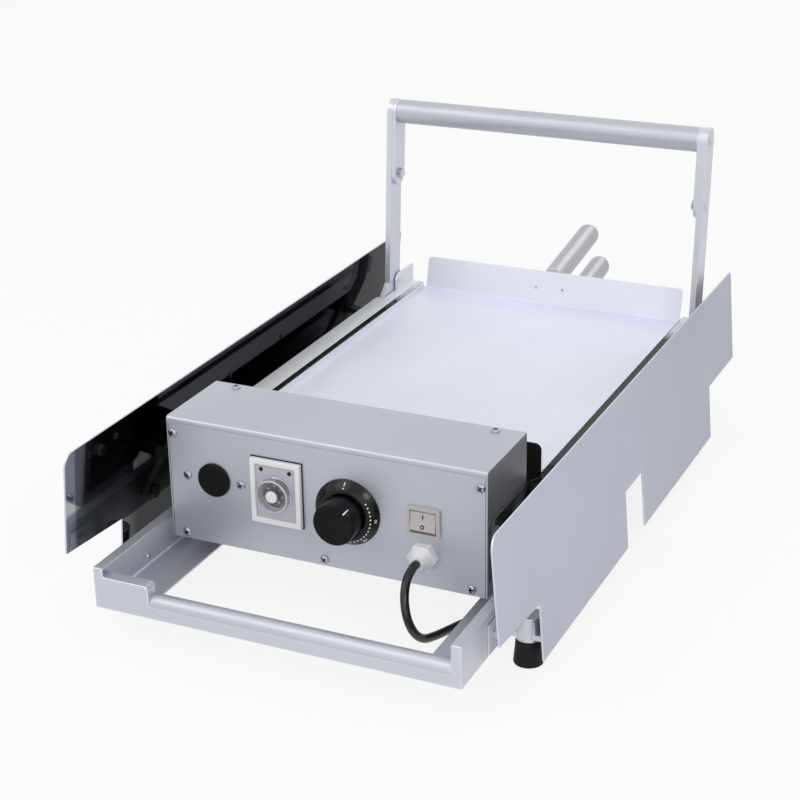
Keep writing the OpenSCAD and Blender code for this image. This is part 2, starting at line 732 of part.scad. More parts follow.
module control_top_cover() color("silver") {
    r = cover_fold_r;
    z0 = box_h - r - cover_lip_h;
    yz_plate(-box_w / 2, box_w) polygon(concat(
        [[0, z0], [0, box_h - r]],
        arc([r, box_h - r], r, 180, 90),
        [[box_d - cover_screw_back - 2 * screw_d, box_h], [box_d - cover_screw_back - 2 * screw_d, box_h - box_t]],
        arc([r, box_h - r], r - box_t, 90, 180),
        [[box_t, z0]]
    ));
    difference() {
        block([-box_w / 2, box_d - cover_screw_back - 2 * screw_d, box_h - box_t], [box_w / 2, box_d, box_h]);
        for (x = cover_screws) translate([x, cover_screw_y, box_h - 2 * box_t])
            cylinder(d = screw_d + 2 * hole_gap, h = 3 * box_t);
    }
}
// A pan-head screw along +Z under its head, with its head's foot at the origin
module screw() {
    translate([0, 0, -screw_len]) cylinder(d = screw_d, h = screw_len);
    rotate_extrude() polygon(concat(
        [[0, 0], [screw_head_d / 2, 0]],
        [for (a = [0:15:90]) [screw_head_d / 2 - screw_head_h / 2 + screw_head_h / 2 * cos(a),
                              screw_head_h / 2 + screw_head_h / 2 * sin(a)]],
        [[0, screw_head_h]]
    ));
}
module panel_screw_set(at) for (p = at) translate([p[0], 0, p[1]]) rotate([90, 0, 0]) screw();
module front_panel_screws() color("gainsboro") panel_screw_set(panel_screws);
module buzzer_screws() color("gainsboro") panel_screw_set(buzzer_screw_at);
module top_cover_screws() color("gainsboro") for (x = cover_screws)
    translate([x, cover_screw_y, box_h]) screw();

// Buzzer, timer, thermostat and switch
module buzzer() color("black") {
    rod_y(buzzer_d, -fitting_proud, 0, -buzzer_x, fitting_z);
    rod_y(buzzer_body_d, 0, buzzer_depth, -buzzer_x, fitting_z);
}
module timer_bezel() color("whitesmoke") translate([-timer_x, 0, fitting_z]) difference() {
    block([-timer_w / 2, -timer_proud, -timer_h / 2], [timer_w / 2, 0, timer_h / 2]);
    block([-timer_w / 2 + timer_rim, -2 * timer_proud, -timer_h / 2 + timer_rim],
          [timer_w / 2 - timer_rim, timer_proud, timer_h / 2 - timer_rim]);
}
module timer_body() color("lightgray") translate([-timer_x, 0, fitting_z]) difference() {
    back_in = bezel_lap + cover_gap;
    union() {
        block([-timer_w / 2 + timer_rim + cover_gap, dial_y, -timer_h / 2 + timer_rim + cover_gap],
              [timer_w / 2 - timer_rim - cover_gap, box_t, timer_h / 2 - timer_rim - cover_gap]);
        block([-timer_w / 2 + back_in, box_t / 2, -timer_h / 2 + back_in],
              [timer_w / 2 - back_in, timer_depth, timer_h / 2 - back_in]);
    }
    rod_y(shaft_d + 2 * run_gap, -timer_proud, timer_depth / 2, 0, 0);
}
module timer_dial() color("lightsteelblue") translate([-timer_x, dial_y - side_gap, fitting_z]) {
    rotate([90, 0, 0]) cylinder(d1 = dial_d, d2 = dial_d - dial_h / 2, h = dial_h);
    rod_y(hub_d, -dial_h - hub_proud, 0, 0, 0);
    rod_y(shaft_d, 0, timer_depth / 3, 0, 0);
}
module thermostat_ring() color("black")
    translate([knob_x, 0, knob_z]) rotate([90, 0, 0]) rotate_extrude() polygon([
    [knob_d / 2 + knob_gap, 0], [ring_d / 2, 0], [ring_d / 2, ring_edge_h],
    [ring_rim_d / 2, ring_h], [knob_d / 2 + knob_gap, ring_h]
]);
module thermostat_body() color("lightgray") translate([knob_x, 0, knob_z]) difference() {
    union() {
        block([-stat_w / 2, 2 * box_t, -stat_w / 2], [stat_w / 2, stat_depth, stat_w / 2]);
        rod_y(neck_d, 0, 2 * box_t, 0, 0);
        rod_y(neck_washer_d, box_t, 2 * box_t, 0, 0);
    }
    rod_y(shaft_d + 2 * run_gap, -box_t, stat_depth / 2, 0, 0);
}
module thermostat_bulb() color("peru") {
    bulb_y = platen_y + bulb_in;
    rod_y(capillary_d, stat_depth, bulb_y, bulb_x, element_z);
    rod_y(element_d, bulb_y, bulb_y + bulb_len, bulb_x, element_z);
}
module thermostat_shaft() color("gainsboro") rod_y(shaft_d, -knob_reach / 2, stat_depth / 3, knob_x, knob_z);
module thermostat_knob() color("black")
    translate([knob_x, 0, knob_z]) rotate([90, 0, 0]) rotate_extrude() polygon(concat(
    [[shaft_d / 2, knob_foot], [knob_d / 2, knob_foot], [knob_d / 2, knob_reach - knob_edge_r]],
    arc([knob_d / 2 - knob_edge_r, knob_reach - knob_edge_r], knob_edge_r, 0, 90),
    [[0, knob_reach], [0, knob_reach / 2], [shaft_d / 2, knob_reach / 2]]
));
module switch_body() color("tan") translate([switch_x, 0, rocker_z]) difference() {
    back_in = bezel_lap + cover_gap;
    union() {
        block([-switch_w / 2, -fitting_proud, -switch_h / 2], [switch_w / 2, 0, switch_h / 2]);
        block([-switch_w / 2 + back_in, -eps, -switch_h / 2 + back_in],
              [switch_w / 2 - back_in, switch_depth, switch_h / 2 - back_in]);
    }
    block([-rocker_w / 2 - side_gap, -2 * fitting_proud, -rocker_r - side_gap],
          [rocker_w / 2 + side_gap, rocker_y + rocker_r + side_gap, rocker_r + side_gap]);
}
// The rocker rests with its upper end pressed in
module switch_rocker() color("tan") translate([switch_x, rocker_y, rocker_z]) rotate([-rocker_tilt, 0, 0])
    yz_plate(-rocker_w / 2, rocker_w) difference() {
        face = -rocker_y - fitting_proud;
        ends = face - rocker_r * tan(rocker_tilt);
        circle(r = rocker_r);
        polygon([[face, 0], [ends, rocker_r], [-2 * rocker_r, rocker_r],
                 [-2 * rocker_r, -rocker_r], [ends, -rocker_r]]);
    }
module cable_gland() color("white") translate([switch_x, 0, gland_z]) rotate([90, 0, 0]) {
    cylinder(d = gland_af / cos(30), h = gland_hex_h, $fn = 6);
    translate([0, 0, gland_hex_h]) cylinder(d1 = gland_af, d2 = cord_d + 2 * gland_tip_wall, h = gland_dome_h);
    thread = box_t + gland_nut_h + gland_thread_end;
    translate([0, 0, -thread]) cylinder(d = gland_thread_d, h = thread);
}
module gland_lock_nut() color("white")
    translate([switch_x, box_t + gland_nut_h, gland_z]) rotate([90, 0, 0]) difference() {
    cylinder(d = gland_af / cos(30), h = gland_nut_h, $fn = 6);
    translate([0, 0, -gland_nut_h]) cylinder(d = gland_thread_d + 2 * hole_gap, h = 3 * gland_nut_h);
}
// Mains contactor and terminals, on the floor of the box
module contactor() color("lightgray") {
    back = box_d - box_t - inside_gap;
    block([-buzzer_x - contactor_w / 2, back - contactor_d, box_t],
          [-buzzer_x + contactor_w / 2, back, box_t + contactor_h]);
    block([-buzzer_x - contactor_w / 3, back - contactor_d * 5 / 6, box_t + contactor_h],
          [-buzzer_x + contactor_w / 3, back - contactor_d / 6, box_t + contactor_h * 4 / 3]);
}
module terminal_block() color("ivory") for (i = [-2:2])
    translate([switch_x + terminal_pitch * i, box_d - box_t - inside_gap, box_t])
    block([-terminal_w / 2, -terminal_d, 0], [terminal_w / 2, 0, terminal_h]);

// Power cord: a free stretch from the gland to the table, and its spare length in a coil
// The route's points are in machine measures, front to back
cord_z = table_z + cord_d / 2;
coil_lift = 1.2;
coil_gap_asked = 0.6;
coil_step = cord_d + coil_gap_asked;
coil_turns = 2.75;
coil_r = 54;
coil_at = [133 - coil_r, 200];
coil_z = cord_z + coil_lift;
cord_route = concat(
    [[switch_x, -gland_tip, gland_z], [switch_x, -gland_tip - cord_d, gland_z]],
    [
        [95, -39, 24.5], [98, -50, 14], [102, -54, -0.5], [106, -50, -15], [109.5, -39.5, -25.5],
        [113, -24, -30.5], [116.5, -6, -34], [120, 13, -37.5], [124, 33, -42], [128, 54, -47.5],
        [131.5, 76, -51.5]
    ],
    [[133, 98, cord_z], [133, 120, cord_z]],
    [[133, 142, cord_z], [133, 164, coil_z], [133, coil_at[1] - cord_d, coil_z]]
);
function unit(v) = v / norm(v);
function heading(path, i) = unit(path[min(i + 1, len(path) - 1)] - path[max(i - 1, 0)]);
function ring_at(path, i, r, sides) =
    let(t = heading(path, i), u = unit(cross(t, [0, 0, 1])), v = cross(u, t))
    [for (k = [0:sides - 1]) path[i] + r * (cos(360 * k / sides) * u + sin(360 * k / sides) * v)];
// A tube swept along a path: rings joined by triangles, with a fan at each end
module swept_tube(path, d, sides) {
    n = len(path);
    points = concat(
        [for (i = [0:n - 1]) each ring_at(path, i, d / 2, sides)],
        [path[0], path[n - 1]]
    );
    last = (n - 1) * sides;
    faces = concat(
        [for (i = [0:n - 2], k = [0:sides - 1])
            [i * sides + k, (i + 1) * sides + k, (i + 1) * sides + (k + 1) % sides]],
        [for (i = [0:n - 2], k = [0:sides - 1])
            [i * sides + k, (i + 1) * sides + (k + 1) % sides, i * sides + (k + 1) % sides]],
        [for (k = [0:sides - 1]) [n * sides, k, (k + 1) % sides]],
        [for (k = [0:sides - 1]) [n * sides + 1, last + (k + 1) % sides, last + k]]
    );
    polyhedron(points, faces);
}
module power_cord() color("black") swept_tube(cord_route, cord_d, 10);

// The coil spirals in on the lower layer, climbs where it turns, and spirals out on the upper one
coil_rings = 24;
function coil_radius(t) = coil_r - coil_step * min(t, 2 * coil_turns - t);
function climb(t) = let(s = max(0, min(1, (t - coil_turns + 0.25) / 0.5))) s * s * (3 - 2 * s);
function coil_point(t) = [
    coil_at[0] + coil_radius(t) * cos(360 * t),
    coil_at[1] + coil_radius(t) * sin(360 * t),
    coil_z + coil_step * climb(t)
];
coil_end = coil_point(2 * coil_turns);
coil_tail = 3 * cord_d;
coil_path = concat(
    [[coil_at[0] + coil_r, coil_at[1] - cord_d, coil_z]],
    [for (i = [0:2 * coil_turns * coil_rings]) coil_point(i / coil_rings)],
    [coil_end - [0, coil_tail / 2, 0], coil_end - [0, coil_tail, 0]]
);
// Least gap between stretches of the coil that lie half a turn or more apart
coil_gap = min([for (i = [0:len(coil_path) - 1], j = [i + coil_rings / 2:1:len(coil_path) - 1])
    norm(coil_path[i] - coil_path[j])]) - cord_d;
function path_length(path) =
    [for (i = [1:len(path) - 1]) norm(path[i] - path[i - 1])] * [for (i = [1:len(path) - 1]) 1];
module power_cord_coil() color("black") swept_tube(coil_path, cord_d, 6);

// A strap round the coil, opposite its cord, where all its turns lie two by two
tie_t = 0.8;
tie_w = 10;
tie_gap = 0.3;
module cord_tie() color("dimgray") {
    inner_y0 = coil_at[1] + coil_radius(2.25) - cord_d / 2 - 2 * tie_gap;
    inner_y1 = coil_at[1] + coil_radius(0.25) + cord_d / 2 + tie_gap;
    inner_z0 = coil_z - cord_d / 2 - tie_gap;
    inner_z1 = coil_z + coil_step + cord_d / 2 + tie_gap;
    difference() {
        block([coil_at[0] - tie_w / 2, inner_y0 - tie_t, inner_z0 - tie_t],
              [coil_at[0] + tie_w / 2, inner_y1 + tie_t, inner_z1 + tie_t]);
        block([coil_at[0] - tie_w, inner_y0, inner_z0], [coil_at[0] + tie_w, inner_y1, inner_z1]);
    }
}
// The plug lies on the table at the end of the coil's upper layer
plug_r = coil_end[2] - table_z;
plug_y = coil_end[1] - coil_tail;
plug_neck = 24;
plug_body = 34;
plug_wall = 3;
pin_len = 18;
pin_ring_r = 7.5;
pin_w = 6.4;
pin_t = 1.8;
module power_plug() color("black")
    translate([coil_end[0], plug_y, coil_end[2]]) rotate([90, 0, 0]) rotate_extrude() polygon(concat(
    [[0, 0], [cord_d / 2 + plug_wall / 2, 0], [cord_d / 2 + plug_wall, plug_neck]],
    [[plug_r - plug_wall, plug_neck + 2 * plug_wall], [plug_r, plug_neck + 4 * plug_wall]],
    arc([plug_r - plug_wall, plug_neck + plug_body - plug_wall], plug_wall, 0, 90, 4),
    [[0, plug_neck + plug_body]]
));
module plug_pins() color("goldenrod") translate([coil_end[0], plug_y - plug_neck - plug_body, coil_end[2]]) {
    for (a = [0, 120, 240]) rotate([0, a, 0]) translate([0, -pin_len, -pin_ring_r])
        block([-pin_t / 2, 0, -pin_w / 2], [pin_t / 2, pin_len, pin_w / 2]);
}

// Lever handle: two dog-leg arms, a tube between two brackets, and their bolts
lever_pivot = [rear_pivot_y, pivot_z];
lever_pin = [rear_pin_y, pin_z];
lever_bend = [bend_y, bend_z];
lever_top = [handle_y, handle_z];
lever_bolt = [bracket_y, bracket_z];
// Round at both ends and outside the bend, with a sharp corner inside it
module lever_outline() {
    a0 = link_angle;
    a1 = 90 - arm_lean;
    corner = (a0 + a1) / 2 + 90;
    polygon(concat(
        arc(lever_pin, arm_w / 2, a0 + 90, a0 + 270, end_steps),
        arc(lever_bend, arm_w / 2, a0 - 90, a1 - 90, end_steps / 2),
        arc(lever_top, arm_w / 2, a1 - 90, a1 + 90, end_steps),
        [lever_bend + arm_w / 2 / cos((a1 - a0) / 2) * [cos(corner), sin(corner)]]
    ));
}
module lever_arm() color("silver") difference() {
    yz_plate(arm_in, arm_t) lever_outline();
    rod_x(stud_d + 2 * run_gap, 0, panel_x, rear_pivot_y, pivot_z);
    rod_x(pin_d + 2 * run_gap, 0, panel_x, rear_pin_y, pin_z);
    rod_x(bolt_d + 2 * hole_gap, 0, panel_x, handle_y, handle_z);
    rod_x(bolt_d + 2 * hole_gap, 0, panel_x, bracket_y, bracket_z);
}
module left_lever_arm() mirror([1, 0, 0]) lever_arm();
module right_lever_arm() lever_arm();
module handle_tube() color("silver") difference() {
    rod_x(handle_d, -bracket_in, bracket_in, handle_y, handle_z);
    rod_x(handle_d - 2 * tube_wall, -bracket_in + 3 * bolt_d, bracket_in - 3 * bolt_d, handle_y, handle_z);
    rod_x(bolt_d + 2 * hole_gap, -panel_x, panel_x, handle_y, handle_z);
}
module handle_brackets() color("silver") both_sides() difference() {
    yz_plate(bracket_in, bracket_t) bar_outline(lever_bolt, lever_top, handle_d);
    rod_x(bolt_d + 2 * hole_gap, 0, panel_x, handle_y, handle_z);
    rod_x(bolt_d + 2 * hole_gap, 0, panel_x, bracket_y, bracket_z);
}
module handle_bolts() color("gainsboro") both_sides() {
    rod_x(bolt_d, bracket_in - 2 * bolt_d, arm_out, handle_y, handle_z);
    rod_x(bolt_d, bracket_in - bolt_head_h, arm_out, bracket_y, bracket_z);
    hex_x(bolt_af, bracket_in - bolt_head_h, bracket_in, bracket_y, bracket_z);
    for (p = [lever_top, lever_bolt]) translate([arm_out, p[0], p[1]]) rotate([0, 90, 0])
        cylinder(d1 = bolt_af + 1, d2 = bolt_af - 3, h = bolt_head_h / 2);
}
module front_links() color("silver") both_sides() difference() {
    yz_plate(arm_in, arm_t) bar_outline([front_pin_y, pin_z], [front_pivot_y, pivot_z], link_w);
    rod_x(stud_d + 2 * run_gap, 0, panel_x, front_pivot_y, pivot_z);
    rod_x(pin_d + 2 * open_gap, 0, panel_x, front_pin_y, pin_z);
}

// Carriage: two lipped rails, a front wall with a grip bar, a rear strap and the pins
rail_front = carriage_front + rail_t;
module carriage_rail() color("gainsboro") difference() {
    union() {
        block([rail_out - rail_t, rail_front, rail_low], [rail_out, rail_back, rail_top]);
        block([lip_in, rail_front, rail_top - rail_t], [rail_out, rail_back, rail_top]);
        block([floor_in, rail_front, rail_low], [rail_out, rail_back, floor_top]);
    }
    for (y = [front_pin_y, rear_pin_y]) rod_x(pin_d + 2 * hole_gap, 0, panel_x, y, pin_z);
    rod_x(bolt_d + 2 * hole_gap, 0, panel_x, guide_y + guide_len / 2, guide_z);
}
module carriage_left_rail() mirror([1, 0, 0]) carriage_rail();
module carriage_right_rail() carriage_rail();
shoulder_top = rail_top - shoulder_drop;
shoulder_corner = [grip_x0 - shoulder_r, shoulder_top - shoulder_r];
// Section of the lip along the shoulder's top and side
module shoulder_lip() polygon(concat(
    [[-rail_out + rail_t + lip_gap, shoulder_top]],
    arc(shoulder_corner, shoulder_r, 90, 0),
    [[grip_x0, rail_low], [grip_x0 - rail_t, rail_low]],
    arc(shoulder_corner, shoulder_r - rail_t, 0, 90),
    [[-rail_out + rail_t + lip_gap, shoulder_top - rail_t]]
));
module carriage_front_wall() color("gainsboro") difference() {
    union() {
        xz_plate(carriage_front, rail_t) polygon(concat(
            [[-rail_out, rail_low], [rail_out, rail_low], [rail_out, rail_top], [grip_x1, rail_top]],
            [[grip_x1, grip_z], [grip_x0, grip_z]],
            arc(shoulder_corner, shoulder_r, 0, 90),
            [[-lip_in, shoulder_top], [-lip_in, rail_top], [-rail_out, rail_top]]
        ));
        xz_plate(rail_front, wall_lip) shoulder_lip();
        block([grip_x1, rail_front, floor_top + lip_gap],
              [grip_x1 + rail_t, rail_front + wall_lip, rail_top - rail_t - lip_gap]);
    }
    rod_x(grip_d, grip_x0, grip_x1, grip_y, grip_z);
}
module carriage_grip_bar() color("gainsboro") difference() {
    rod_x(grip_d, grip_x0, grip_x1, grip_y, grip_z);
    rod_x(grip_d - 2 * tube_wall, grip_x0 + tube_wall, grip_x1 - tube_wall, grip_y, grip_z);
}
module carriage_strap() color("gainsboro")
    block([-floor_in, rail_back - strap_w, rail_low], [floor_in, rail_back, floor_top]);
module carriage_pins() color("gainsboro") both_sides() for (y = [front_pin_y, rear_pin_y]) {
    hex_x(pin_head_d, rail_out - rail_t - collar_t, rail_out - rail_t, y, pin_z);
    rod_x(pin_d, rail_out - rail_t, arm_out + side_gap + collar_t, y, pin_z);
    rod_x(pin_head_d, rail_out, rail_out + side_gap, y, pin_z);
    rod_x(pin_head_d, arm_out + side_gap, arm_out + side_gap + collar_t, y, pin_z);
}
guide_y = carriage_front + guide_at;
guide_z = pin_z;
module rail_guide_plates() color("silver") both_sides() difference() {
    block([rail_out, guide_y, floor_top], [rail_out + rail_t, guide_y + guide_len, floor_top + guide_h]);
    rod_x(bolt_d + 2 * hole_gap, 0, panel_x, guide_y + guide_len / 2, guide_z);
}
module rail_guide_bolts() color("gainsboro") both_sides() {
    rod_x(bolt_d, rail_out - rail_t, rail_out + rail_t, guide_y + guide_len / 2, guide_z);
    hex_x(bolt_af, rail_out + rail_t, rail_out + rail_t + bolt_head_h, guide_y + guide_len / 2, guide_z);
}

// Trays: a rear flange that leans back, with a round grip on it
module flange_plane(y, z) translate([0, y, z]) rotate([-tray_flange_lean, 0, 0]) children();
module tray_flange(y, z, x) flange_plane(y, z) xz_plate(0, tray_t)
    tombstone(2 * (x - tray_flange_in), 0, tray_flange_h, tray_flange_r);
module tray_grip(y, z, len) difference() {
    translate([0, y + grip_set, z + tray_grip_at]) rotate([-90 + tray_grip_rise, 0, 0]) {
        translate([0, 0, -tray_grip_d]) cylinder(d = tray_grip_d, h = len + tray_grip_d);
        translate([0, 0, len]) sphere(d = tray_grip_d);
    }
    flange_plane(y, z) block([-panel_x, -panel_x, -panel_x], [panel_x, tray_t, panel_x]);
}
module upper_tray() color("aliceblue") {
    block([-tray_x, tray_y, platen_top], [tray_x, tray_y + tray_len, tray_z]);
    both_sides() block([tray_x - tray_t, tray_y, tray_z], [tray_x, tray_y + tray_len - tray_lip_h, flange_z]);
    tray_flange(tray_y + tray_len - tray_t, tray_z - tray_t, tray_x);
}
module upper_tray_grip() color("silver")
    tray_grip(tray_y + tray_len - tray_t, tray_z - tray_t, upper_grip_len);
module lower_tray() color("aliceblue") {
    block([-leg_x, tray_y, heel_z - tray_t], [leg_x, lower_back, heel_z]);
    both_sides() block([leg_x - tray_t, tray_y, floor_top + leg_gap], [leg_x, lower_back, heel_z - tray_t]);
    tray_flange(lower_back - tray_t, heel_z - tray_t, leg_x);
}
module lower_tray_grip() color("silver") tray_grip(lower_back - tray_t, heel_z - tray_t, lower_grip_len);

echo(coil_gap = coil_gap, cord_length = path_length(cord_route) + path_length(coil_path));
echo(middle_y = middle_y, table_z = table_z, lift_angle = lift_angle, lift_forward = lift_forward);

place() left_side_panel();
place() right_side_panel();
place() left_inner_wall();
place() right_inner_wall();
place() wall_bolts();
place() panel_standoffs();
place() pivot_studs();
place() pivot_collars();
place() foot_brackets();
place() foot_studs();
place() rubber_feet();
place() platen_top_plate();
place() platen_bottom_plate();
place() heating_elements();
place() platen_angles();
place() heat_shield();
place() control_box_shell();
place() control_front_panel();
place() control_top_cover();
place() front_panel_screws();
place() top_cover_screws();
place() buzzer();
place() buzzer_screws();
place() timer_bezel();
place() timer_body();
place() timer_dial();
place() thermostat_ring();
place() thermostat_body();
place() thermostat_bulb();
place() thermostat_shaft();
place() thermostat_knob();
place() switch_body();
place() switch_rocker();
place() cable_gland();
place() gland_lock_nut();
place() contactor();
place() terminal_block();
place() power_cord();
place() power_cord_coil();
place() cord_tie();
place() power_plug();
place() plug_pins();
place() left_lever_arm();
place() right_lever_arm();
place() handle_tube();
place() handle_brackets();
place() handle_bolts();
place() front_links();
place() carriage_left_rail();
place() carriage_right_rail();
place() carriage_front_wall();
place() carriage_grip_bar();
place() carriage_strap();
place() carriage_pins();
place() rail_guide_plates();
place() rail_guide_bolts();
place() lower_tray();
place() lower_tray_grip();
place() upper_tray();
place() upper_tray_grip();
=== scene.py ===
# %% [markdown]
# # A bun toaster, dressed for the camera
#
# The machine is a sheet-steel toaster: a control box in front, a heated plate under a crown tray behind
# it, and a carriage that a lever lifts from below. Its solids come packed from the CAD model, in metres.
# This lesson gives each piece soft edges, a finish and the small details that a solid leaves out.

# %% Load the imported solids
import json
import math

import bmesh
import bpy
from mathutils import Matrix, Vector
from mathutils.bvhtree import BVHTree


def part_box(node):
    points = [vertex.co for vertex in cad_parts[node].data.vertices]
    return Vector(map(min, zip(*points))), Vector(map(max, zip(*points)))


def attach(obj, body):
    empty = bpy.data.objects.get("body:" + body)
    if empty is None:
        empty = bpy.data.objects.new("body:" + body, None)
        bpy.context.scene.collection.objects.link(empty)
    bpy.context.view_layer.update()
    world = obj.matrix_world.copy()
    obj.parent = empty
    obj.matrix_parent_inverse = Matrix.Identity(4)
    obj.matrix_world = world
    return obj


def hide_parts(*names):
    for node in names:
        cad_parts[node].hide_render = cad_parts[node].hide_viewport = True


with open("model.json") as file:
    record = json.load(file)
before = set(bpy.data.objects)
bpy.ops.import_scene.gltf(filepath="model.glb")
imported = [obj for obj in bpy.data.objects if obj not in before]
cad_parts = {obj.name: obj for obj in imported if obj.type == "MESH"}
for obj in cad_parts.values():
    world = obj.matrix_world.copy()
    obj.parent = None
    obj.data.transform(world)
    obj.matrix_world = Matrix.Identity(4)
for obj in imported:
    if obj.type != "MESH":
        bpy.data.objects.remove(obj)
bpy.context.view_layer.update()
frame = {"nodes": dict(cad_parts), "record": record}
nodes = frame["nodes"]
scene = bpy.context.scene

# %% [markdown]
# Sizes on this machine are easiest to read from the front face and the underside of its control box. The
# helpers below turn such measures, in millimetres, into points of the shared frame and back.

# %% Measures from the control box
MM = 0.001
PANEL_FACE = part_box("control_front_panel")[0].y
BOX_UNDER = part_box("control_box_shell")[0].z


def from_box(x, y, z):
    return Vector((x * MM, PANEL_FACE + y * MM, BOX_UNDER + z * MM))


def size_of(node):
    """A node's width, depth and height in millimetres."""
    low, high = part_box(node)
    return (high - low) / MM


def panel_spot(node):
    """The x and z of a node's middle, in millimetres from the box."""
    low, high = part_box(node)
    centre = (low + high) / 2
    return centre.x / MM, (centre.z - BOX_UNDER) / MM


def proud_of_panel(node):
    return (PANEL_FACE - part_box(node)[0].y) / MM


print("box face at", round(PANEL_FACE, 4), "and underside at", round(BOX_UNDER, 4))

# %% [markdown]
# The camera stands in front, to the right and above. Its place and lens were worked out from the edges of
# the box and the panels, so the picture has the same perspective as the photograph.

# %% Camera
LENS_PIXELS = 1834.887
IMAGE_PIXELS = 800
MIDDLE_ROW = 417.741
SENSOR_MM = 36
EYE = (651.388, -1234.44, 737.123)
AZIMUTH = math.radians(25.093)
ELEVATION = math.radians(23.297)
ROLL = math.radians(-0.965)


def linked(name, data):
    """An object with that data, linked to the scene."""
    made = bpy.data.objects.new(name, data)
    scene.collection.objects.link(made)
    return made


look = Vector((
    -math.sin(AZIMUTH) * math.cos(ELEVATION),
    math.cos(AZIMUTH) * math.cos(ELEVATION),
    -math.sin(ELEVATION),
))
level_right = look.cross(Vector((0, 0, 1))).normalized()
level_up = level_right.cross(look)
right = level_right * math.cos(ROLL) + level_up * math.sin(ROLL)
up = level_up * math.cos(ROLL) - level_right * math.sin(ROLL)

camera_data = bpy.data.cameras.new("camera")
camera_data.sensor_width = SENSOR_MM
camera_data.lens = SENSOR_MM * LENS_PIXELS / IMAGE_PIXELS
camera_data.shift_y = (MIDDLE_ROW - IMAGE_PIXELS / 2) / IMAGE_PIXELS
camera_data.clip_end = 50
camera = linked("camera", camera_data)
turned_to_look = Matrix((right, up, -look)).transposed().to_4x4()
camera.matrix_world = Matrix.Translation(from_box(*EYE)) @ turned_to_look
scene.camera = camera
print("lens", round(camera_data.lens, 2), "mm")

# %% [markdown]
# ## Finishes
#
# Every finish is a small node tree. A noise in object coordinates, stretched along the grain, moves the
# colour and the roughness a little and gives a faint bump. What is the same all over a surface, such as
# how metallic it is, is set on the shader itself.

# %% Node helpers
def add_node(tree, kind, links=None, **values):
    made = tree.nodes.new(kind)
    for name, value in values.items():
        setattr(made, name, value)
    for socket, source in (links or {}).items():
        if isinstance(source, bpy.types.NodeSocket):
            tree.links.new(source, made.inputs[socket])
        else:
            made.inputs[socket].default_value = source
    return made


def math_of(tree, operation, first, second=0.0):
    return add_node(tree, "ShaderNodeMath", {0: first, 1: second}, operation=operation).outputs[0]


def mix_values(tree, share, first, second):
    return add_node(tree, "ShaderNodeMix", {0: share, 2: first, 3: second}).outputs[0]


def mix_tones(tree, share, first, second):
    return add_node(tree, "ShaderNodeMix", {0: share, 6: first, 7: second}, data_type="RGBA").outputs[2]


def axis_of(tree, kind, axis):
    """One axis of the object's own place ("Object") or facing ("Normal")."""
    place = add_node(tree, "ShaderNodeTexCoord").outputs[kind]
    return add_node(tree, "ShaderNodeSeparateXYZ", {"Vector": place}).outputs[axis]


print("node helpers")

# %% [markdown]
# A noise stays between 0.3 and 0.7 nearly everywhere. The next helpers spread that stretch over a range of
# values or between two colours. Rounded edges carry an attribute, and a noise breaks up their painted
# highlight.

# %% Noise, tones and painted edge highlights
NOISE_LOW = 0.3
NOISE_HIGH = 0.7
EVEN = (1, 1, 1)


def noise(tree, scale, detail, stretch=EVEN):
    place = add_node(tree, "ShaderNodeTexCoord").outputs["Object"]
    drawn = add_node(tree, "ShaderNodeMapping", {"Vector": place, "Scale": stretch}).outputs["Vector"]
    inputs = {"Vector": drawn, "Scale": scale, "Detail": detail}
    return add_node(tree, "ShaderNodeTexNoise", inputs).outputs["Fac"]


def spread(tree, value, low, high):
    ends = {"From Min": NOISE_LOW, "From Max": NOISE_HIGH, "To Min": low, "To Max": high}
    return add_node(tree, "ShaderNodeMapRange", {"Value": value, **ends}).outputs["Result"]


def two_tone(tree, value, dark, light):
    ramp = add_node(tree, "ShaderNodeValToRGB", {"Fac": value})
    for element, place, color in zip(ramp.color_ramp.elements, (NOISE_LOW, NOISE_HIGH), (dark, light)):
        element.position = place
        element.color = (*color, 1)
    return ramp.outputs["Color"]


def shade(color, factor):
    return tuple(min(1.0, c * factor) for c in color)


# Painted highlight: rounded edges take a lighter colour, broken up by a noise.
def edge_wear(tree):
    edge = add_node(tree, "ShaderNodeAttribute", attribute_name="edge").outputs["Fac"]
    patchy = spread(tree, noise(tree, 35.0, 2.0), 0.45, 1.0)
    return math_of(tree, "MULTIPLY", edge, patchy)


print("noise between", NOISE_LOW, "and", NOISE_HIGH)

# %% [markdown]
# One maker serves every plain finish. Rolled sheet has a fine grain along its length; cast and turned
# pieces have none, so the grain's stretch is an input. Metal edges get a painted highlight: a lighter colour,
# with less roughness.

# %% Maker of plain finishes
BUMP_HEIGHT = 0.0004
ROUGH_CHANGE = 0.15
HIGHLIGHT_SHADE = 1.5
HIGHLIGHT_ROUGH = 0.6


def new_finish(name):
    material = bpy.data.materials.new(name)
    material.use_nodes = True
    tree = material.node_tree
    return material, tree, tree.nodes["Principled BSDF"]


def rough_grain(tree, fine, rough):
    return spread(tree, fine, rough * (1 - ROUGH_CHANGE), rough * (1 + ROUGH_CHANGE))


def dress(tree, shader, tone, grain, fine, bump, metallic):
    tree.links.new(tone, shader.inputs["Base Color"])
    tree.links.new(grain, shader.inputs["Roughness"])
    lift = add_node(tree, "ShaderNodeBump", {"Height": fine, "Strength": bump, "Distance": BUMP_HEIGHT})
    tree.links.new(lift.outputs["Normal"], shader.inputs["Normal"])
    shader.inputs["Metallic"].default_value = metallic


